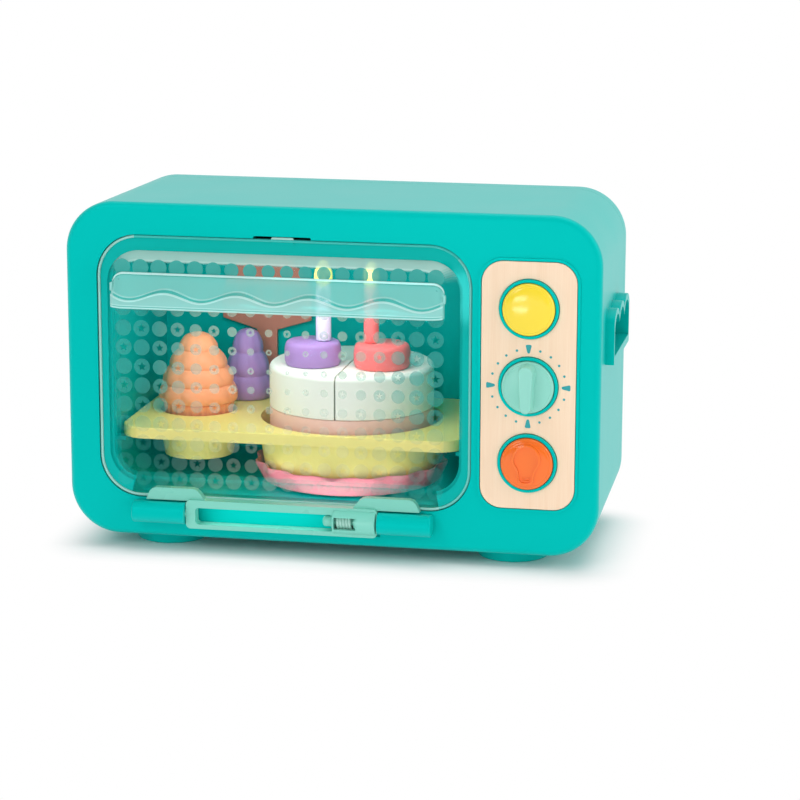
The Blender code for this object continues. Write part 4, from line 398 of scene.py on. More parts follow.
cut(
    shell,
    plate(recess_outline(0), -4, 4.5),
    plate(mouth_outline(0), -4, 11.1),
    beam(arc(AXIS[1:], CRADLE_RADIUS, 0, TURN, 64)[:-1], -78.65, 27.55),
    plate(panel_outline(0.4), -4, 1.2),
    beam(grip_outline(0), 128.5, 153.4),
    plate(rounded(31.5, 2.6, 0.9, (DOOR_X, 165.8), 4), -4, 8.0),
    rod(BARREL_BORE, 23.55, 32.65, "X", AXIS, 32),
    rod(BARREL_BORE, -83.75, -74.65, "X", AXIS, 32),
    *[rod(PILOT_RADIUS, 101, 117, "Y", (x, 0, z), 24) for x, z in POSTS],
    *[rod(4.3, -4, 6.6, "Z", (x, y, 0), 32) for x, y in FEET],
)
for height in STATIONS:
    join(shell, rod(COLLAR_RADIUS, -2.3, GUIDE_END, "Y", (PANEL_X, 0, height), 72, 0.5))
for height in (113.0, 71.7):
    board_post = [(2.4, 1.9), (2.4, 20.5), (1.2, 20.5), (1.2, 24.0)]
    join(shell, turned(board_post, "Y", (PANEL_X, 0, height), 24))
for height in (STATIONS[0], STATIONS[2]):
    cut(shell, rod(GUIDE_RADIUS, -6.3, 11.5, "Y", (PANEL_X, 0, height), 72))
cut(
    shell,
    rod(GUIDE_RADIUS, -6.3, 1.6, "Y", (PANEL_X, 0, STATIONS[1]), 72),
    rod(GUIDE_RADIUS, 4.2, 11.5, "Y", (PANEL_X, 0, STATIONS[1]), 72),
    rod(3.4, -4, GUIDE_END, "Y", (PANEL_X, 0, STATIONS[1]), 32),
)
piece("housing", shell, "oven", teal, "body_shell", 0.35)


# Rear cover: the teal back half of the housing, pushed over the shell on a lip and held by
# four screws. It carries the battery box, the speaker's ring and the slotted grille.
COVER_START = SHELL_DEPTH + 0.3
rings = edge_rings(DEPTH, -1) + [housing_ring(COVER_START, 0), housing_ring(COVER_START, 2.9)]
rings += [housing_ring(110.3, 2.9), housing_ring(110.3, 4.3), housing_ring(124.4, 4.3)]
cover = solid(loft(rings))
for x, z in POSTS:
    join(cover, rod(5, 110.3, 125.2, "Y", (x, 0, z), 40))
    well = rod(3.4, 112.5, 131, "Y", (x, 0, z), 40)
    cut(cover, well, rod(PILOT_RADIUS, 106.3, DEPTH, "Y", (x, 0, z), 24))
for height in (41.0, 142.8):
    join(cover, plate(rounded(97.75, 5.2, 1.3, (DOOR_X, height), 4), 119.2, 125.2))
BATTERY_X = 103.5
BATTERY_SCREW_Z = 86.7
SPEAKER_Z = 127
battery_cover_outline = framed(35.5, 68.6, 3, (BATTERY_X, 56.9), 6)
join(
    cover,
    box(86.55, 120.45, 105.9, 126.2, 22.4, 80.4),
    plate(battery_cover_outline(1.8), 122.0, 126.2),
    rod(4.2, 114.8, 123.8, "Y", (BATTERY_X, 0, BATTERY_SCREW_Z), 32),
)
cut(
    cover,
    plate(battery_cover_outline(0.4), 123.5, 131),
    box(88.35, 118.65, 107.7, DEPTH, 24.2, 78.6),
    rod(PILOT_RADIUS, 110.8, DEPTH, "Y", (BATTERY_X, 0, BATTERY_SCREW_Z), 24),
)
speaker_ring = [(19.7, 117.4), (19.7, 125.2), (18.3, 125.2), (18.3, 117.4)]
join(cover, turned(speaker_ring, "Y", (BATTERY_X, 0, SPEAKER_Z), 56, True))
for row in (-2, -1, 0, 1, 2):
    half = sqrt(15.4**2 - (row * 4.8) ** 2)
    slot = rounded(2 * half, 1.8, 0.85, (BATTERY_X, SPEAKER_Z + row * 4.8), 5)
    cut(cover, plate(slot, 123.6, 131))
piece("rear_shell", cover, "oven", teal, "rear_cover", 0.3)


# Repeats: feet, screws, printed marks and dots are copies of one shape, set out by a
# Geometry Nodes group that puts the shape at each point with the point's own size and turn.
def repeat_nodes():
    """Node group that copies a shape to points, by their turn and size."""
    tree = bpy.data.node_groups.new("Repeat a shape", "GeometryNodeTree")
    kinds = {"Points": "Geometry", "Shape": "Object", "Material": "Material"}
    for label, kind in kinds.items():
        tree.interface.new_socket(label, in_out="INPUT", socket_type=f"NodeSocket{kind}")
    tree.interface.new_socket("Copies", in_out="OUTPUT", socket_type="NodeSocketGeometry")
    given = tree.nodes.new("NodeGroupInput")
    turn = add(tree, "InputNamedAttribute", {"Name": "turn"}, data_type="FLOAT_VECTOR")
    size = add(tree, "InputNamedAttribute", {"Name": "size"}, data_type="FLOAT_VECTOR")
    shape = add(tree, "ObjectInfo", {"Object": (given, "Shape")})
    spread = add(tree, "InstanceOnPoints", {
        "Points": add(tree, "MeshToPoints", {"Mesh": (given, "Points")}),
        "Instance": (shape, "Geometry"),
        "Rotation": (turn, "Attribute"),
        "Scale": (size, "Attribute"),
    })
    real = add(tree, "RealizeInstances", {"Geometry": spread})
    painted = {"Geometry": real, "Material": (given, "Material")}
    paint = add(tree, "SetMaterial", painted)
    feed(tree, tree.nodes.new("NodeGroupOutput"), {"Copies": paint})
    return tree


REPEAT = repeat_nodes()


def repeat(shape, places, material):
    """Copies of a shape. Places hold a point, a size along x, y and z, and a turn."""
    tool = solid(shape)
    item = solid(bmesh.new())
    item.data.from_pydata([place[0] for place in places], [], [])
    for key, column in (("size", 1), ("turn", 2)):
        values = item.data.attributes.new(key, "FLOAT_VECTOR", "POINT")
        for index, place in enumerate(places):
            values.data[index].vector = place[column]
    step = item.modifiers.new("repeat", "NODES")
    step.node_group = REPEAT
    sockets = {s.name: s.identifier for s in REPEAT.interface.items_tree if s.in_out == "INPUT"}
    step[sockets["Shape"]] = tool
    step[sockets["Material"]] = material
    settle(item)
    bpy.data.objects.remove(tool)
    return item


# Feet: four plain teal discs pegged into the underside, with a soft lower rim.
foot = [(18.3 + 1.2 * sin(a), -5.8 - 1.2 * cos(a)) for a in evenly(0, TURN / 4, 6)]
foot += [(20.3, -0.3), (4, -0.3), (4, 4.5)]
places = [((x, y, 0), (1, 1, 1), (0, 0, 0)) for x, y in FEET]
foot_names = [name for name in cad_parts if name.startswith("foot_")]
feet = repeat(turned(foot, "Z", (0, 0, 0), 72), places, teal)
piece("feet", feet, "oven", teal, foot_names)


# Screws: slotted pan-head steel screws, four in the cover's wells and one in the battery cover.
metallic = {"Metallic": 1.0}
steel = plastic("Bright steel", (192, 196, 200), 0.3, 900.0, POLISHED, 0.06, metallic)
profile = [(0.65, -8.7), (1.3, -7.4), (1.3, 0.3), (2.8, 0.3), (2.8, 1.0)]
profile += [(2.8 * cos(a), 1.0 + 1.2 * sin(a)) for a in evenly(0, TURN / 4.4, 5)][1:]
screw = solid(turned(profile, "Y", (0, 0, 0), 32))
cut(screw, box(-6, 6, 1.25, 6, -0.4, 0.4))
settle(screw)
mesh = bmesh.new()
mesh.from_mesh(screw.data)
bpy.data.objects.remove(screw)
places = [((x, 112.5, z), (1, 1, 1), (0, 0.6 * n, 0)) for n, (x, z) in enumerate(POSTS)]
places.append(((BATTERY_X, 124.5, BATTERY_SCREW_Z), (1, 1, 1), (0, 0.9, 0)))
screw_names = [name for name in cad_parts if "screw" in name]
piece("screws", repeat(mesh, places, steel), "oven", steel, screw_names, sharp=30)


# Oven cavity: a teal box behind the door, its teal darkened as painted shade inside it, with a
# rail along each side for the tray and a round lamp lens in its right wall.
# The cavity's teal is the housing's own, painted darker as the shade that falls inside the oven.
shaded_teal_shine = {"Specular Tint": (0.1, 0.9, 0.9, 1)}
shaded_teal = plastic("Dark teal plastic", (0, 166, 162), 0.42, constants=shaded_teal_shine)
CAVITY_FRONT, CAVITY_BACK = 7.4, 118.9
LAMP = (0, 46, 132)


def cavity_ring(y, margin):
    """The cavity's outline at depth y, drawn in towards the back by the mould's draft."""
    drawn = 1.2 * (y - CAVITY_FRONT) / (CAVITY_BACK - CAVITY_FRONT)
    return at_y(mouth_outline(margin - drawn), y)


steps = ((CAVITY_BACK, 1.8), (9.2, 1.8), (9.2, 3), (CAVITY_FRONT, 3), (CAVITY_FRONT, 0), (117.1, 0))
liner = solid(loft([cavity_ring(y, margin) for y, margin in steps]))
join(liner, *[box(left, left + 7.1, 14, 108, 49.5, 51.5) for left in (-124.2, 66.0)])
cut(liner, rod(6.3, 68.2, 76.2, "X", LAMP, 40))
piece("cavity", liner, "oven", shaded_teal, "cavity_liner", 0.4)

lens_finish = plastic("Frosted lens", (246, 244, 232), 0.3, constants={"Alpha": 0.75})
profile = [(6 * cos(a), 70.0 - 1.2 * sin(a)) for a in evenly(TURN / 4.3, 0, 8)]
profile += [(6, 74.3), (7.2, 74.3), (7.2, 75.5), (4, 75.5), (4, 82.3)]
lens = solid(turned(profile, "X", LAMP, 40))
cut(lens, rod(2.8, 73.4, 86.3, "X", LAMP, 32))
piece("lamp_window", lens, "oven", lens_finish, "lamp_lens")


# Control panel: a thin maple veneer panel stuck in its seat, with a hole round each control.
# Its grain runs upright. The dial's marks round the timer are printed in teal.
def veneer():
    """Upright wood grain: fine streaks over a slow figure, from light wood to dark."""
    woods = {"Light wood": colour(252, 226, 198), "Dark wood": colour(240, 204, 168)}
    tree, given, made = group("Upright wood grain", woods | {"Figure": 0.5})
    where = (add(tree, "TexCoord"), "Object")
    slow = add(tree, "Mapping", {"Vector": where, "Scale": (160.0, 20.0, 9.0)})
    quick = add(tree, "Mapping", {"Vector": where, "Scale": (1500.0, 60.0, 45.0)})
    broad = {"Vector": slow, "Scale": 1.0, "Detail": 4.0, "Distortion": 0.6}
    figure = add(tree, "TexNoise", broad)
    streak = add(tree, "TexNoise", {"Vector": quick, "Scale": 1.0, "Detail": 3.0})
    mixed = {"Factor": 0.45, "A": (figure, "Fac"), "B": (streak, "Fac")}
    both = add(tree, "Mix", mixed, data_type="FLOAT")
    spread = add(tree, "MapRange", {"Value": both, "From Min": 0.36, "From Max": 0.68})
    share = compute(tree, "MULTIPLY", spread, (given, "Figure"))
    tones = {"Factor": share, 6: (given, "Light wood"), 7: (given, "Dark wood")}
    blend = add(tree, "Mix", tones, data_type="RGBA")
    dull = {"Value": (streak, "Fac"), "To Min": 0.5, "To Max": 0.62}
    rough = add(tree, "MapRange", dull)
    feed(tree, made, {"Colour": (blend, 2), "Roughness": rough, "Height": (streak, "Fac")})
    return tree


maple, tree, shader = new_material("Maple veneer")
grain = add(tree, "Group", node_tree=veneer())
relief = {"Strength": 0.4, "Distance": 0.00004, "Height": (grain, "Height")}
feed(tree, shader, {
    "Base Color": (grain, "Colour"),
    "Roughness": (grain, "Roughness"),
    "Normal": add(tree, "Bump", relief),
    "Specular IOR Level": 0.3,
})
maple.diffuse_color = colour(251, 222, 190)

panel = solid(plate(panel_outline(0), -0.6, 0.9))
for height in STATIONS:
    cut(panel, rod(COLLAR_RADIUS + 0.3, -4, 4, "Y", (PANEL_X, 0, height), 72))
piece("wood_panel", panel, "oven", maple, "control_panel", 0.15)

print_teal = plastic("Printed teal", (20, 160, 165), 0.5, grain_depth=POLISHED)
bar_outline = rounded(3.1, 1.6, 0.75, (0, 1.55), 6)[:14]
bar_outline += [(-0.8, -1.6), (-0.45, -2.3), (0.45, -2.3), (0.8, -1.6)]
dot_outline = arc((0, 0), 0.68, 0, TURN, 16)[:-1]
DIAL_RADIUS = 20.0
bars = []
dots = []
for step in range(20):
    angle = TURN * step / 20
    across, rise = DIAL_RADIUS * sin(angle), DIAL_RADIUS * cos(angle)
    point = (PANEL_X + across, -0.6, STATIONS[1] + rise)
    (dots if step % 5 else bars).append((point, (1, 1, 1), (0, angle, 0)))
piece("dial_bars", repeat(plate(bar_outline, -0.05, 0.02), bars, print_teal), "oven", print_teal)
piece("dial_dots", repeat(plate(dot_outline, -0.05, 0.02), dots, print_teal), "oven", print_teal)


# Buttons: a glossy yellow dome for sound and an orange one with a raised bulb sign for the
# light. Each is a round cap that slides in its collar against a spring and works a switch.
yellow = plastic("Yellow plastic", (250, 222, 60), 0.12, 1200.0, FINE_GRAIN)
orange = plastic("Orange plastic", (250, 118, 40), 0.14, 1200.0, FINE_GRAIN)
CAP_FRONT = -5.8


def dome(radius, front, back, rise, edge):
    """A cap's profile from its skirt's rear to a domed front."""
    crown = rise - edge
    flat = radius - edge
    profile = [(radius, back)]
    for a in evenly(0, TURN / 4, 8):
        profile.append((flat + edge * cos(a), front + crown + edge - edge * sin(a)))
    for a in evenly(0, TURN / 4, 20)[1:-1]:
        profile.append((flat * cos(a), front + crown * (1 - sin(a))))
    profile.append((0.2, front))
    return profile


def button_cap(height):
    """A cap with its rear flange, hollow from behind, and the stem that works its switch."""
    centre = (PANEL_X, 0, height)
    profile = [(COLLAR_RADIUS, 9.3), (COLLAR_RADIUS, 7.9)]
    profile += dome(CAP_RADIUS, CAP_FRONT, 7.9, 3.2, 1.6)
    cap = solid(turned(profile, "Y", centre, 96))
    cut(cap, rod(CAP_RADIUS - 1.6, -1.0, 13.3, "Y", centre, 64))
    join(cap, rod(2.4, -1.8, 14.0, "Y", centre, 24))
    return cap


cap = button_cap(STATIONS[0])
piece("sound_cap", cap, "sound_button", yellow, "sound_button")
cap = button_cap(STATIONS[2])


def bulb_outline(margin):
    """A bulb sign: a round globe that draws in smoothly to a round-ended cap."""
    right = arc((0, 2.9), 6.3, TURN / 4, -0.5, 18)
    right += [(4.6, -1.9), (3.9, -3.6), (3.55, -5.2), (3.45, -6.6)]
    right += [(3.1, -7.9), (2.2, -8.8), (0, -9.1)]
    outline = []
    for x, z in right + [(-x, z) for x, z in right[-2:0:-1]]:
        rise = z + margin * copysign(min(1, abs(z) / 4), z)
        outline.append((PANEL_X + 1.22 * x * (1 + margin / 6.3), STATIONS[2] + 1.2 * rise))
    return outline


steps = ((0, -2.6), (0, -6.2), (-0.7, -6.7))
join(cap, loft([at_y(bulb_outline(margin), y) for margin, y in steps]))
cut(cap, plate(bulb_outline(-1.1), -8, -5.9))
for z in (-6.2, -7.2):
    thread = rounded(3.8, 0.6, 0.25, (PANEL_X, STATIONS[2] + 1.15 * z), 3)
    join(cap, plate(thread, -6.6, -5.2))
piece("light_cap", cap, "light_button", orange, "light_button", 0.25)


# Timer knob: a mint disc in the middle collar, with a grip bar across it that is narrower at
# its pointing end. It clicks round on a notched wheel behind the panel.
knob_mint = plastic("Knob mint plastic", (140, 214, 198), 0.3, 1800.0, 0.000008)
height = STATIONS[1]
centre = (PANEL_X, 0, height)
knob = solid(turned(dome(CAP_RADIUS, CAP_FRONT, 1.2, 2.8, 1.4), "Y", centre, 96))
rings = []
for depth, drawn in ((-4.2, 0), (-10.8, 0.6), (-11.5, 0.75), (-11.85, 0.95), (-12.0, 1.2)):
    wide = 3.6 - drawn
    tip = 4.6 - drawn
    far = CAP_RADIUS - 0.7 - drawn
    outline = arc((PANEL_X, height - far + wide), wide, TURN / 2, TURN, 16)
    outline += arc((PANEL_X, height + far - tip), tip, 0, TURN / 2, 16)
    rings.append(at_y(outline, depth))
join(knob, loft(rings), rod(3, 0.4, 18.5, "Y", centre, 32))
piece("knob", knob, "timer_knob", knob_mint, "timer_knob", 0.3)


# Door window: one clear aqua moulding with a rimmed flange in the recess, a boxed-out front
# and a tab at the top that snaps into the housing. Dots and stars are printed on its front.
def mark(item, name, rule):
    """Writes a value from 0 to 1 to each face, by a rule on its centre, normal and width."""
    values = item.data.attributes.new(name, "FLOAT", "FACE")
    back = IN_PLACE.inverted()
    for face in item.data.polygons:
        across = [item.data.vertices[index].co.x * 1000 for index in face.vertices]
        width = max(across) - min(across)
        values.data[face.index].value = rule(back @ face.center, face.normal, width)


def clear_material(name, tone, pale, alpha_range, slant_power):
    """Clear tinted plastic: thin where it is seen square on, denser at a slant and where marked."""
    material, tree, shader = new_material(name)
    values = {"Colour": tone, "Gloss": 0.06, "Gloss drift": 0.02}
    surface = add(tree, "Group", values, node_tree=MOULDED)
    # The surface is blended to a pale colour where a painted highlight or painted reflection is
    # marked.
    light = add(tree, "Attribute", attribute_name="pale")
    tones = {"Factor": (light, "Fac"), 6: (surface, "Colour"), 7: pale}
    blend = add(tree, "Mix", tones, data_type="RGBA")
    slant = add(tree, "LayerWeight", {"Blend": 0.5})
    steep = compute(tree, "POWER", (slant, "Facing"), slant_power)
    reach = {"Value": steep, "To Min": alpha_range[0], "To Max": alpha_range[1]}
    alpha = add(tree, "MapRange", reach)
    thick = add(tree, "Attribute", attribute_name="dense")
    feed(tree, shader, {
        "Base Color": (blend, 2),
        "Roughness": (surface, "Roughness"),
        "Alpha": compute(tree, "MAXIMUM", alpha, (thick, "Fac")),
        "IOR": 1.5,
        "Specular Tint": (0.12, 0.92, 0.9, 1),
    })
    material.diffuse_color = tone[:3] + (0.4,)
    return material


# The pale colour is the colour of the painted highlights and painted reflections.
aqua, highlight_aqua = colour(4, 190, 182), colour(206, 230, 221)
clear_aqua = clear_material("Clear aqua", aqua, highlight_aqua, (0.03, 0.6), 3.0)
FLANGE_WIDTH, FLANGE_HEIGHT, FLANGE_CORNER = 203.7, 143.5, 22.6
FLANGE_RIM = 1.45
TAB_Z = 164.4
flange_outline = framed(FLANGE_WIDTH, FLANGE_HEIGHT, FLANGE_CORNER, (DOOR_X, DOOR_Z), 18)


def bulge_ring(share, inset, y):
    """The boxed front at a share of its slope, from the flange (0) to the face (1)."""
    width = 193.5 - 2 * (7.2 * share + inset)
    height = 127.4 - 8.7 * share - 2 * inset
    centre = (DOOR_X, 93.3 + 1.65 * share)
    return at_y(rounded(width, height, 18 - 5.5 * share - inset, centre, 18), y)


hollow = ((1, 4.3, -9.8), (1, 2.4, -9.1), (1, 1.7, -7.2), (0, 1.7, 4.2))
flange = ((0, 4.2), (0, 1.1), (-0.5, 0.6), (-1.1, 0.6), (-1.4, 0.9), (-1.4, 1.8))
rings = [bulge_ring(*step) for step in hollow]
rings += [at_y(flange_outline(margin), y) for margin, y in flange]
rings.append(bulge_ring(0, 0, 1.8))
FACE_Y, FACE_EDGE = -11.5, 2.6
rings += [
    bulge_ring(1, FACE_EDGE * (1 - cos(a)), FACE_Y + FACE_EDGE * (1 - sin(a)))
    for a in evenly(0, TURN / 4, 7)
]
window = solid(loft(rings))
tab = rounded(12, 4.2, 0.7, (DOOR_X, TAB_Z), 4)
join(window, plate(tab, 1.2, 3.0))
window = piece("window", window, "door", clear_aqua, "door_window", sharp=50)


def flange_gap(point):
    """How far a point lies in from the flange's edge."""
    side = abs(point.x - DOOR_X) - (FLANGE_WIDTH / 2 - FLANGE_CORNER)
    rise = abs(point.z - DOOR_Z) - (FLANGE_HEIGHT / 2 - FLANGE_CORNER)
    return FLANGE_CORNER - hypot(max(side, 0), max(rise, 0)) - min(max(side, rise), 0)


def on_tab(point, width):
    return abs(point.x - DOOR_X) < 6.2 and width < 12.5 and point.z > TAB_Z - 0.5


def window_painted_highlight(point, normal, width):
    """Painted pale: the tab, a painted highlight on the rim and a painted reflection under the top
    edge.
    """
    if on_tab(point, width):
        return 0.75
    # Painted highlight along the rim: lightest at the left, middling at the right, faint along the
    # top.
    if flange_gap(point) < FLANGE_RIM:
        return 0.1 if point.z > 158 and point.x > -107 else 0.6 if point.x < 60 else 0.3
    # Painted reflection of the light above, on the upward slope under the top edge.
    if point.z > 120 and point.y < 1.8:
        return 0.95 * max(0, min(1, (normal.z - 0.3) / 0.5))
    return 0.0


def window_dense(point, normal, width):
    """How dense the moulding looks: full at the rim, high on the flange and faint low down."""
    if flange_gap(point) < FLANGE_RIM or on_tab(point, width):
        return 1.0
    if point.z < 36 and abs(point.x - DOOR_X) < 84:
        return 0.12
    # On the slope under the top edge, the density follows the painted reflection.
    return 0.9 if point.y > 1.0 else 0.9 * window_painted_highlight(point, normal, width)


# Painted light on the window: a pale highlight on its rim and a pale reflection under its top edge.
# The tab is painted pale too.
mark(window, "pale", window_painted_highlight)
mark(window, "dense", window_dense)


def dot_ink():
    """Translucent printed ink: greener at the sides, thin low on the door, thick in the top row."""
    matt = {"Specular IOR Level": 0.15}
    material = plastic("Dot print", (150, 196, 180), 0.5, constants=matt)
    tree = material.node_tree
    where = add(tree, "TexCoord")
    split = add(tree, "SeparateXYZ", {"Vector": (where, "Object")})
    apart = compute(tree, "ABSOLUTE", compute(tree, "ADD", (split, "X"), 0.028))
    side = add(tree, "MapRange", {"Value": apart, "From Min": 0.03, "From Max": 0.07})
    top_row = {"Value": (split, "Z"), "From Min": 0.151, "From Max": 0.152}
    low_rows = {"From Min": 0.07, "From Max": 0.1, "To Min": 0.07, "To Max": 0.3}
    top = add(tree, "MapRange", top_row)
    rise = add(tree, "MapRange", {"Value": (split, "Z")} | low_rows)
    crown = add(tree, "MapRange", top_row | {"To Max": 0.45})
    inks = {6: colour(196, 222, 204), 7: colour(70, 178, 170)}
    green = {"Factor": compute(tree, "MAXIMUM", side, top)}
    blend = add(tree, "Mix", green | inks, data_type="RGBA")
    alpha = compute(tree, "ADD", rise, crown)
    feed(tree, tree.nodes["Principled BSDF"], {"Base Color": (blend, 2), "Alpha": alpha})
    return material


dot_print = dot_ink()


def holed(outline, hole):
    """A disc with a hole: both outlines run the same way and start at the top."""
    ring = [at_y(outline, 0), at_y(outline, 0.05)]
    inner = [at_y(hole, 0.05), at_y(hole, 0)]
    return loft(ring + inner, True)


plain_spot = [(sin(a), cos(a)) for a in evenly(0, TURN, 40)[:-1]]
corners = []
for index, a in enumerate(evenly(0, TURN, 10)):
    long = 0.24 if index % 2 else 0.6
    corners.append((long * sin(a), long * cos(a)))
star_hole = []
for near, far in zip(corners, corners[1:]):
    for share in (0, 0.25, 0.5, 0.75):
        star_hole.append(tuple(a + (b - a) * share for a, b in zip(near, far)))
DOT_ROWS = (150.2, 139.3, 128.3, 117.3, 106.9, 96.4, 86.1, 75.7, 65.3, 54.9, 44.6, 35.5)
DOT_START, DOT_PITCH = -109.8, 9.95
plain = []
starred = []
for row, z in enumerate(DOT_ROWS):
    for column in range(18):
        x = DOT_START + DOT_PITCH * column
        across = min(4.4, 1.0 + 0.0425 * hypot(x + 20.4, 1.15 * (z - 96.9)))
        place = ((x, FACE_Y - 0.06, z), (across, 1, across), (0, 0, 0))
        hollow = row >= 3 and (row + column) % 2 == 0
        (starred if hollow else plain).append(place)
piece("dots", repeat(plate(plain_spot, 0, 0.05), plain, dot_print), "door", dot_print)
piece("star_dots", repeat(holed(plain_spot, star_hole), starred, dot_print), "door", dot_print)


# Door handle: a clear aqua pull across the top of the door, hollow from below for fingertips,
# with a double wavy line along its slope and a lip under it. Its bead, wavy step and lip carry
# painted highlights. It is welded to the window.
# The pale colour is that of the painted highlights.
pull_aqua, highlight_pull = colour(84, 214, 204), colour(196, 236, 232)
clear_pull = clear_material("Clear aqua pull", pull_aqua, highlight_pull, (0.22, 0.8), 2.0)
PULL_ROOT, PULL_REACH = -11.8, 9.2
PULL_TOP, PULL_FOOT = 147.6, 129.2
PULL_START, PULL_END = -115.05, 63.95


def wave_height(x):
    return 136.7 + 2.3 * cos(TURN * (x + 84.8) / 39.3)


def handle_section(x, hollow):
    """The section at x as (y, z): a bead, a slope, the wavy step, a lip and the hollow."""
    from_end = min(x - PULL_START, PULL_END - x)
    front = PULL_ROOT - PULL_REACH * sqrt(1 - (max(8 - from_end, 0) / 10) ** 2)
    top = PULL_TOP - 5.6 * (1 - sqrt(1 - (max(6 - from_end, 0) / 6.1) ** 2))
    wave = wave_height(x)
    step = PULL_ROOT + (front - PULL_ROOT) * (PULL_TOP - wave) / 13.3 * 0.9
    wall = max(-19.4, front + 1.0)
    roof = (133.0, 134.5, 144.0) if hollow else (129.25, 129.3, 129.25)
    return [
        (PULL_ROOT, top), (-12.75, top - 0.1), (-12.85, top - 1.1), (-12.3, top - 1.5),
        (step + 1.2, wave + 1.2), (step + 0.5, wave + 1.0), (step + 0.3, wave + 0.45),
        (front + 1.2, wave - 0.6), (front + 0.3, wave - 0.9), (front, wave - 1.5),
        (front, 131.3), (front, 130.8), (front + 0.1, 130.2), (front + 0.2, 129.5),
        (front + 0.7, PULL_FOOT), (wall, PULL_FOOT), (wall, roof[0]),
        ((wall - 13.4) / 2, roof[1]), (-13.4, roof[2]), (-13.4, PULL_FOOT),
        (PULL_ROOT, PULL_FOOT),
    ]


rings = [at_x(handle_section(x, False), x) for x in evenly(PULL_START, -111.6, 8)]
rings += [at_x(handle_section(x, True), x) for x in evenly(-111.55, 60.45, 172)]
rings += [at_x(handle_section(x, False), x) for x in evenly(60.5, PULL_END, 8)]
handle = piece("pull", loft(rings), "door", clear_pull, "door_handle", sharp=35)
# Per face round each section, from the bead to the hollow: how strongly a highlight is painted on,
# then how dense the plastic is. The pull's ends get more of both.
PAINTED_HIGHLIGHT = (0, 1, 1, 0.1, 0.36, 0.75, 0.7, 0.1, 0.95, 0.95, 0.62, 0.9, 0.3, 0.9, 0.9, 0.3)
PAINTED_HIGHLIGHT += (0, 0, 0, 0, 0)
DENSE = (0.2, 0.9, 0.95, 0.6, 0.72, 0.78, 0.75, 0.55, 0.85, 0.9, 0.74, 0.85, 0.6, 0.9, 0.9, 0.5)
DENSE += (0, 0, 0, 0, 0.2)
for name, values, end in (("pale", PAINTED_HIGHLIGHT, 0.7), ("dense", DENSE, 0.9)):
    marks = handle.data.attributes.new(name, "FLOAT", "FACE")
    for face in handle.data.polygons:
        x = (IN_PLACE.inverted() @ face.center).x
        value = values[(face.index - 2) % len(values)] if face.index > 1 else end
        near_end = x < PULL_START + 1.55 or x > PULL_END - 1.45
        marks.data[face.index].value = max(value, 0.75 * end * near_end)
ears = solid(box(-116.05, -114.6, -15.2, -12.2, 137.6, 142.2))
join(ears, box(63.5, 64.95, -15.2, -12.2, 137.0, 141.6))
ears = piece("pull_ears", ears, "door", clear_pull, edge=0.5)
# The ears get a painted highlight and a high density.
mark(ears, "pale", lambda point, normal, width: 0.6)
mark(ears, "dense", lambda point, normal, width: 0.8)


# Door yoke: the mint carrier under the window, which turns on the housing's barrels. It has a
# band with a long slot, a rounded cheek at the left, a shoulder over each barrel and a round
# cage at the right for the pin and its spring.
mint = plastic("Mint plastic", (126, 212, 194), 0.28, 1800.0, 0.00001)


def shoulder(inner, outer):
    """A flat-topped shoulder over a barrel, as (x, z), from its inner end to its outer end."""
    toward = copysign(1, outer - inner)
    rise = ((0, 21.7), (2.2, 23.4), (4.6, 26.6), (6.4, 28.0), (8.4, 28.4))
    fall = ((5.6, 28.4), (3.6, 27.9), (2.2, 26.6), (0.9, 24.2), (0, 21.7))
    points = [(inner + toward * along, z) for along, z in rise]
    return points + [(outer - toward * along, z) for along, z in fall]


yoke = solid(plate(rounded(105.4, 15.7, 2.6, (DOOR_X, 14.85), 6), -6.4, 0.3))
join(
    yoke,
    plate(shoulder(-66.75, -100.85), -4.2, 0.3),
    plate(shoulder(12.15, 49.75), -4.2, 0.3),
    rod(6.6, 3.15, 26.55, "X", AXIS, 56, 0.8),
)
cut(
    yoke,
    plate(rounded(76.3, 9.2, 2.0, (-34.85, 14.0), 6), -12, 4.3),
    rod(4.6, 4.25, 16.35, "X", AXIS, 40),
    box(4.25, 16.35, -15.3, -8.0, 11.6, 18.2),
    rod(2.3, -0.85, 31.15, "X", AXIS, 32),
)
join(yoke, rod(2, -82.95, -75.85, "X", AXIS, 32))
piece("yoke", yoke, "door", mint, "door_yoke", 0.45)


# Release pin: a mint pin with a round finger nub in the slot. Its collar presses on a steel
# spring inside the cage, and its end stands in the right barrel's bore.
angles = evenly(TURN / 90, TURN / 4, 8)
profile = [(2.9 * sin(a), -2.65 + 1.45 * (1 - cos(a))) for a in angles]
profile += [(2.9, 2.6), (2.7, 2.85), (2, 2.85), (2, 14.85), (4.2, 14.85), (4.2, 16.05)]
profile += [(2, 16.05), (2, 30.85), (1, 31.85)]
pin = turned(profile, "X", AXIS, 40)
piece("pin", pin, "release_pin", mint, "release_pin")


def coil(radius, wire, turns, start, end, centre, axis="X"):
    """A coil spring between two distances along its axis, as a round wire."""
    along, across, upward = directions(axis)
    round_wire = evenly(0, TURN, 10)[:-1]
    rings = []
    for share in evenly(0, 1, 32 * turns):
        angle = TURN * turns * share
        spoke = across * cos(angle) + upward * sin(angle)
        reach = start + wire + (end - start - 2 * wire) * share
        middle = Vector(centre) + spoke * radius + along * reach
        rings.append([
            middle + (spoke * cos(a) + along * sin(a)) * wire for a in round_wire
        ])
    return loft(rings)


metallic = {"Metallic": 0.2}
# The coil is painted a pale mint with little metal. This stands in for the bright reflections of
# steel, which would render black in the dark room in front.
steel_with_painted_glint = plastic("Spring steel", (176, 222, 210), 0.3, 900.0, POLISHED, constants=metallic)
spring = coil(3.55, 0.88, 5, 4.55, 14.55, AXIS)
spring = piece("spring", spring, "door", steel_with_painted_glint, "pin_spring")
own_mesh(spring)


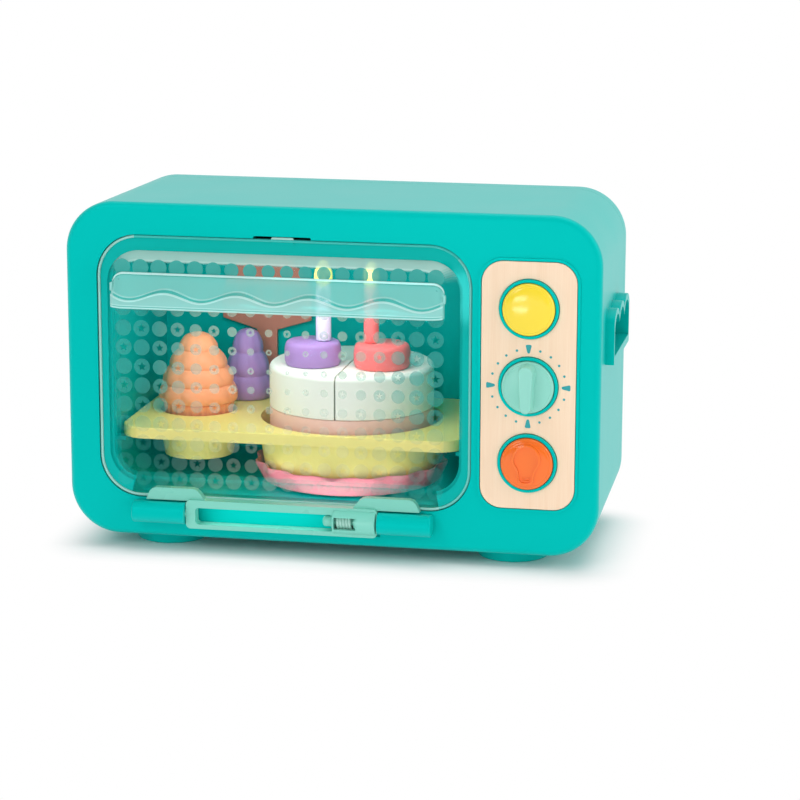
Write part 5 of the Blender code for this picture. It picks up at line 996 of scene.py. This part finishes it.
# Tray: a pale yellow baking tray on the cavity's rails, with a round pan and a cup well.
butter = plastic("Butter plastic", (252, 232, 132), 0.35)
PAN_X, CUP_X, TRAY_Y = -1.05, -88.85, 62.9
TRAY_TOP = 58.0


def tray_ring(inset, z):
    return at_z(rounded(190 - 2 * inset, 107 - 2 * inset, 15 - inset, (DOOR_X, TRAY_Y), 16), z)


steps = ((1, TRAY_TOP), (0.3, 57.7), (0, 57.0), (0, 51.8), (1.8, 51.8), (1.8, 56.2))
tray = solid(loft([tray_ring(inset, z) for inset, z in steps]))
wells = ((PAN_X, 50.5, 3.5, 34.5), (CUP_X, 21.2, 3.8, 34.6))
for x, radius, taper, floor in wells:
    well = [(radius - taper + 1.8, floor - 1.8), (radius + 1.8, 57.1)]
    join(tray, turned(well, "Z", (x, TRAY_Y, 0), 96))
for x, radius, taper, floor in wells:
    slope = taper / (TRAY_TOP - floor)
    hollow = [(radius - taper, floor), (radius + slope * 4, 62.0)]
    cut(tray, turned(hollow, "Z", (x, TRAY_Y, 0), 96))
piece("baking_tray", tray, "oven", butter, "tray", 0.5)


# Cake: a round pink layer in the pan under four white slices, each softened at its top edge.
cream = plastic("Cream plastic", (246, 246, 236), 0.45)
pink = plastic("Pink plastic", (228, 122, 138), 0.4)
pale_pink = plastic("Pale pink plastic", (250, 202, 190), 0.4)
layer = rod(45.5, 34.8, 64.8, "Z", (PAN_X, TRAY_Y, 0), 96, 0.6)
piece("cake_base", layer, "oven", pale_pink, "cake_layer")
CAKE_TOP, CAKE_EDGE = 88.6, 3
HALF_CUT = 0.45
levels = [(65.1, 0)]
for a in evenly(0, TURN / 4, 6):
    inset = CAKE_EDGE - CAKE_EDGE * cos(a)
    levels.append((CAKE_TOP - CAKE_EDGE + CAKE_EDGE * sin(a), inset))
slices = (
    ("front_left", -1, -1, TURN / 2),
    ("front_right", 1, -1, 3 * TURN / 4),
    ("rear_left", -1, 1, TURN / 4),
    ("rear_right", 1, 1, 0),
)
for name, side_x, side_y, start in slices:
    corner = (PAN_X + side_x * HALF_CUT, TRAY_Y + side_y * HALF_CUT)
    rings = []
    for z, inset in levels:
        outline = arc(corner, 45.05 - inset, start, start + TURN / 4, 28)
        rings.append(at_z([corner] + outline, z))
    piece(f"slice_{name}", loft(rings), "oven", cream, f"cake_slice_{name}", 0.4)


# Cupcake and loose swirl: piped icing in soft stacked rolls that taper to a tip, the cupcake's
# over a fluted case.
peach = plastic("Peach plastic", (252, 160, 112), 0.4)
lilac = plastic("Lilac plastic", (172, 130, 196), 0.4)


def fluted_ring(centre, z, steps, reach):
    """A level ring of points whose distance from the centre is a rule of their angle."""
    angles = evenly(0, TURN, steps)[:-1]
    spokes = [(reach(a) * cos(a), reach(a) * sin(a)) for a in angles]
    return [(centre[0] + x, centre[1] + y, z) for x, y in spokes]


def piped(centre, foot, height, radius, tip, rolls, case=()):
    """Piped icing over a fluted case: stacked rolls that taper to a tip, with winding flutes."""
    rings = []
    for far, z in case:
        rings.append(fluted_ring(centre, z, 156, lambda a: far * (1 + 0.02 * cos(26 * a))))
    for share in evenly(0, 1, 16 * rolls):
        far = tip + (radius - tip) * (1 - share**1.7)
        far += 1.5 * abs(sin(pi * rolls * share)) ** 0.7
        far *= sqrt(max(0.02, 1 - max(0, (share - 0.93) / 0.07) ** 2))

        def flute(a):
            return far * (1 + 0.035 * abs(cos(4.5 * a + 2.2 * share)))

        rings.append(fluted_ring(centre, foot + height * share, 156, flute))
    return loft(rings)


case = [(16.0, 36.8), (16.4, 37.2), (19.6, 62.6), (18.0, 63.0)]
cupcake = piped((CUP_X, TRAY_Y), 63.2, 38.5, 20.4, 4.5, 4, case)
piece("cupcake", cupcake, "oven", peach, "cupcake_orange", sharp=60)
swirl = piped((-69.0, 97.3), 58.4, 39.5, 12.6, 4.0, 3)
piece("loose_swirl", swirl, "oven", lilac, "swirl_purple", sharp=60)


# Icing tops and candles: a purple and a coral icing top on the cake, each with a candle and a
# yellow flame that plugs into it.
coral = plastic("Coral plastic", (246, 112, 112), 0.38)
lavender = plastic("Lavender plastic", (226, 214, 240), 0.35)
flame_yellow = plastic("Flame yellow plastic", (232, 234, 128), 0.3)
TOPS_Y = 50.9
low = [(14.6, 88.9), (15.5, 91.0), (15.6, 93.5), (15.6, 97.0)]
low += [(15.2, 99.6), (14.5, 101.2), (13.2, 101.9)]
flame = [(2.6, 132.5), (3.8, 133.6), (5.0, 136.2), (5.2, 138.2)]
flame += [(4.7, 141.0), (3.4, 144.0), (2.0, 146.2), (0.8, 147)]
for tint, x, candle_x, icing, icing_slot, wax, wax_slot in (
    ("purple", -20.45, -14.45, lilac, "lilac_plastic", lavender, "lavender_plastic"),
    ("coral", 18.35, 12.35, coral, "coral_plastic", coral, "coral_plastic"),
):
    top = turned(low, "Z", (x, TOPS_Y, 0), 64)
    piece(f"top_{tint}", top, "oven", icing, f"icing_{tint}")
    stick = rod(4.2, 102.2, 132.2, "Z", (candle_x, TOPS_Y, 0), 40, 0.6)
    piece(f"wax_{tint}", stick, "oven", wax, f"candle_{tint}")
    stood = turned(flame, "Z", (candle_x, TOPS_Y, 0), 40)
    piece(f"fire_{tint}", stood, "oven", flame_yellow, f"flame_{tint}")


# Plate and server: a pink plate with a scalloped rim on the cavity's floor, and a flat rust
# cake server that stands at the back of the tray.
def plate_ring(radius, z, scallop):
    return fluted_ring((PAN_X, TRAY_Y), z, 192, lambda a: radius + scallop * cos(16 * a))


levels = ((49.5, 24, 0), (51.6, 29.0, 0.5), (52.8, 33.2, 1.4))
levels += ((52.8, 34.8, 1.4), (51.6, 34.6, 1.4), (47, 25.8, 0))
dish = loft([plate_ring(*level) for level in levels])
piece("pink_plate", dish, "oven", pink, "plate", 0.3)
rust = plastic("Rust plastic", (190, 112, 92), 0.4)
outline = [(-67.55, 58.3), (-55.55, 58.3), (-55.55, 94.3), (-35.55, 100.3), (-35.55, 112.3)]
outline += arc((-61.55, 112.3), 26, 0, TURN / 2, 28)[1:] + [(-87.55, 100.3), (-67.55, 94.3)]
piece("server", plate(outline, 113.3, 116.1), "oven", rust, "cake_server", 0.5)


# Inside works: a steel spring round each button's stem, which shortens as the button goes in.
# The circuit board with its switches, the speaker, cells, contacts and battery cover keep
# their shapes and get their own finishes.
for name, height in (("sound_button", STATIONS[0]), ("light_button", STATIONS[2])):
    around = coil(5.8, 0.4, 4, -0.7, 20.5, (PANEL_X, 0, height), "Y")
    around = piece(f"{name}_coil", around, "oven", steel, f"{name}_spring")
    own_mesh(around)
board_green = plastic("Board green", (20, 112, 70), 0.45)
black = plastic("Black plastic", (30, 32, 34), 0.45)
metallic = {"Metallic": 0.6}
jacket = plastic("Cell jacket", (188, 192, 196), 0.32, 900.0, POLISHED, constants=metallic)
led = plastic("Lamp yellow", (250, 236, 120), 0.25)
finishes = (
    (board_green, ("circuit_board",)),
    (black, ("sound_switch", "light_switch", "rotary_switch", "speaker")),
    (jacket, ("battery_1", "battery_2")),
    (steel, ("battery_contact_top", "battery_contact_bottom", "click_leaf")),
    (knob_mint, ("click_wheel",)),
    (led, ("lamp_led",)),
)
painted = {name: material for material, names in finishes for name in names}
for name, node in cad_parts.items():
    node.data.materials[0] = painted.get(name, teal)


# Studio: a white sweep, a bright surround behind and beside the oven, a dark room in front of
# it, and large soft lights from the left and above. The camera stands right of the middle.
def fading_sweep():
    """A white sweep that takes shadow near the oven and fades to pure white away from it."""
    material, tree, shader = new_material("Sweep")
    white = (0.95, 0.95, 0.95, 1)
    feed(tree, shader, {"Base Color": white, "Roughness": 0.9, "Specular IOR Level": 0.0})
    glow = add(tree, "Emission", {"Color": (1, 1, 1, 1), "Strength": 1.0})
    where = (add(tree, "TexCoord"), "Object")
    apart = add(tree, "VectorMath", {0: where}, operation="ABSOLUTE")
    beyond = {0: apart, 1: (0.125, 0.048, 0)}
    past = add(tree, "VectorMath", beyond, operation="SUBTRACT")
    outer = add(tree, "VectorMath", {0: past, 1: (0, 0, 0)}, operation="MAXIMUM")
    reach = add(tree, "VectorMath", {0: outer}, operation="LENGTH")
    fade = {"Value": (reach, "Value"), "From Min": 0.0, "From Max": 0.04}
    share = add(tree, "MapRange", fade, interpolation_type="SMOOTHSTEP")
    blend = add(tree, "MixShader", {"Fac": share, 1: shader, 2: glow})
    feed(tree, tree.nodes["Material Output"], {"Surface": blend})
    return material


ground = bmesh.new()
bmesh.ops.create_grid(ground, x_segments=1, y_segments=1, size=6.0)
floor = solid(ground)
floor.name = floor.data.name = "floor"
floor.data.materials.append(fading_sweep())

world = bpy.data.worlds.new("Studio")
bpy.context.scene.world = world
world.use_nodes = True
tree = world.node_tree
path = add(tree, "LightPath")
where = add(tree, "TexCoord")
split = add(tree, "SeparateXYZ", {"Vector": (where, "Generated")})
room = {"From Min": -0.5, "From Max": 0.35, "To Min": 0.06, "To Max": 1.0}
seen = add(tree, "MapRange", {"Value": (split, "Y")} | room)
glossy = {"Factor": (path, "Is Glossy Ray"), "A": 0.42, "B": seen}
shared = add(tree, "Mix", glossy, data_type="FLOAT")
direct = {"Factor": (path, "Is Camera Ray"), "A": shared, "B": 1.0}
final = add(tree, "Mix", direct, data_type="FLOAT")
feed(tree, tree.nodes["Background"], {"Color": final, "Strength": 1.0})


def softbox(name, place, aim, width, tall, power, unseen=()):
    """A soft rectangular light turned to a point, unseen by the kinds of ray named."""
    lamp = bpy.data.lights.new(name, "AREA")
    lamp.shape = "RECTANGLE"
    lamp.size = width
    lamp.size_y = tall
    lamp.energy = power
    item = bpy.data.objects.new(name, lamp)
    item.location = place
    item.rotation_euler = (Vector(aim) - Vector(place)).to_track_quat("-Z", "Y").to_euler()
    for ray in unseen:
        setattr(item, f"visible_{ray}", False)
    bpy.context.scene.collection.objects.link(item)


softbox("key", (-0.9, -1.5, 1.1), (0, 0, 0.09), 0.7, 0.9, 7.5)
softbox("fill", (0.05, -1.5, 0.06), (0, 0, 0.07), 0.6, 0.5, 5.2, ["glossy"])
softbox("top", (0.2, 0.1, 1.6), (0, 0, 0.1), 1.4, 1.0, 8)
softbox("side", (1.6, -0.3, 0.7), (0, 0, 0.09), 0.6, 1.2, 8)
button_view = (0.105, -0.06, 0.14)
mirrored = ["camera", "diffuse"]
softbox("window", (-0.14, -0.92, 0.14), button_view, 0.2, 0.09, 0.36, mirrored)
softbox("strip", (-0.05, -0.63, 0.036), button_view, 0.13, 0.035, 0.11, mirrored)
hidden = ["glossy", "camera"]
softbox("cavity_glow", (-0.028, -0.035, 0.160), (-0.028, 0.03, 0.06), 0.15, 0.03, 0.10, hidden)
softbox("floor_glow", (-0.028, -0.043, 0.034), (-0.028, 0.03, 0.052), 0.16, 0.012, 0.014, hidden)
softbox("slot_glow", (-0.037, -0.0593, 0.0210), (-0.037, 0, 0.0210), 0.066, 0.008, 0.003, hidden)

camera = bpy.data.objects.new("camera", bpy.data.cameras.new("camera"))
camera.location = (0.31434, -1.48666, 0.41300)
camera.rotation_euler = Euler([radians(a) for a in (77.4881, -0.1728, 11.0220)])
camera.data.lens = 127.052
camera.data.sensor_width = 36
bpy.context.scene.collection.objects.link(camera)
bpy.context.scene.camera = camera
bpy.context.scene.view_settings.view_transform = "Standard"
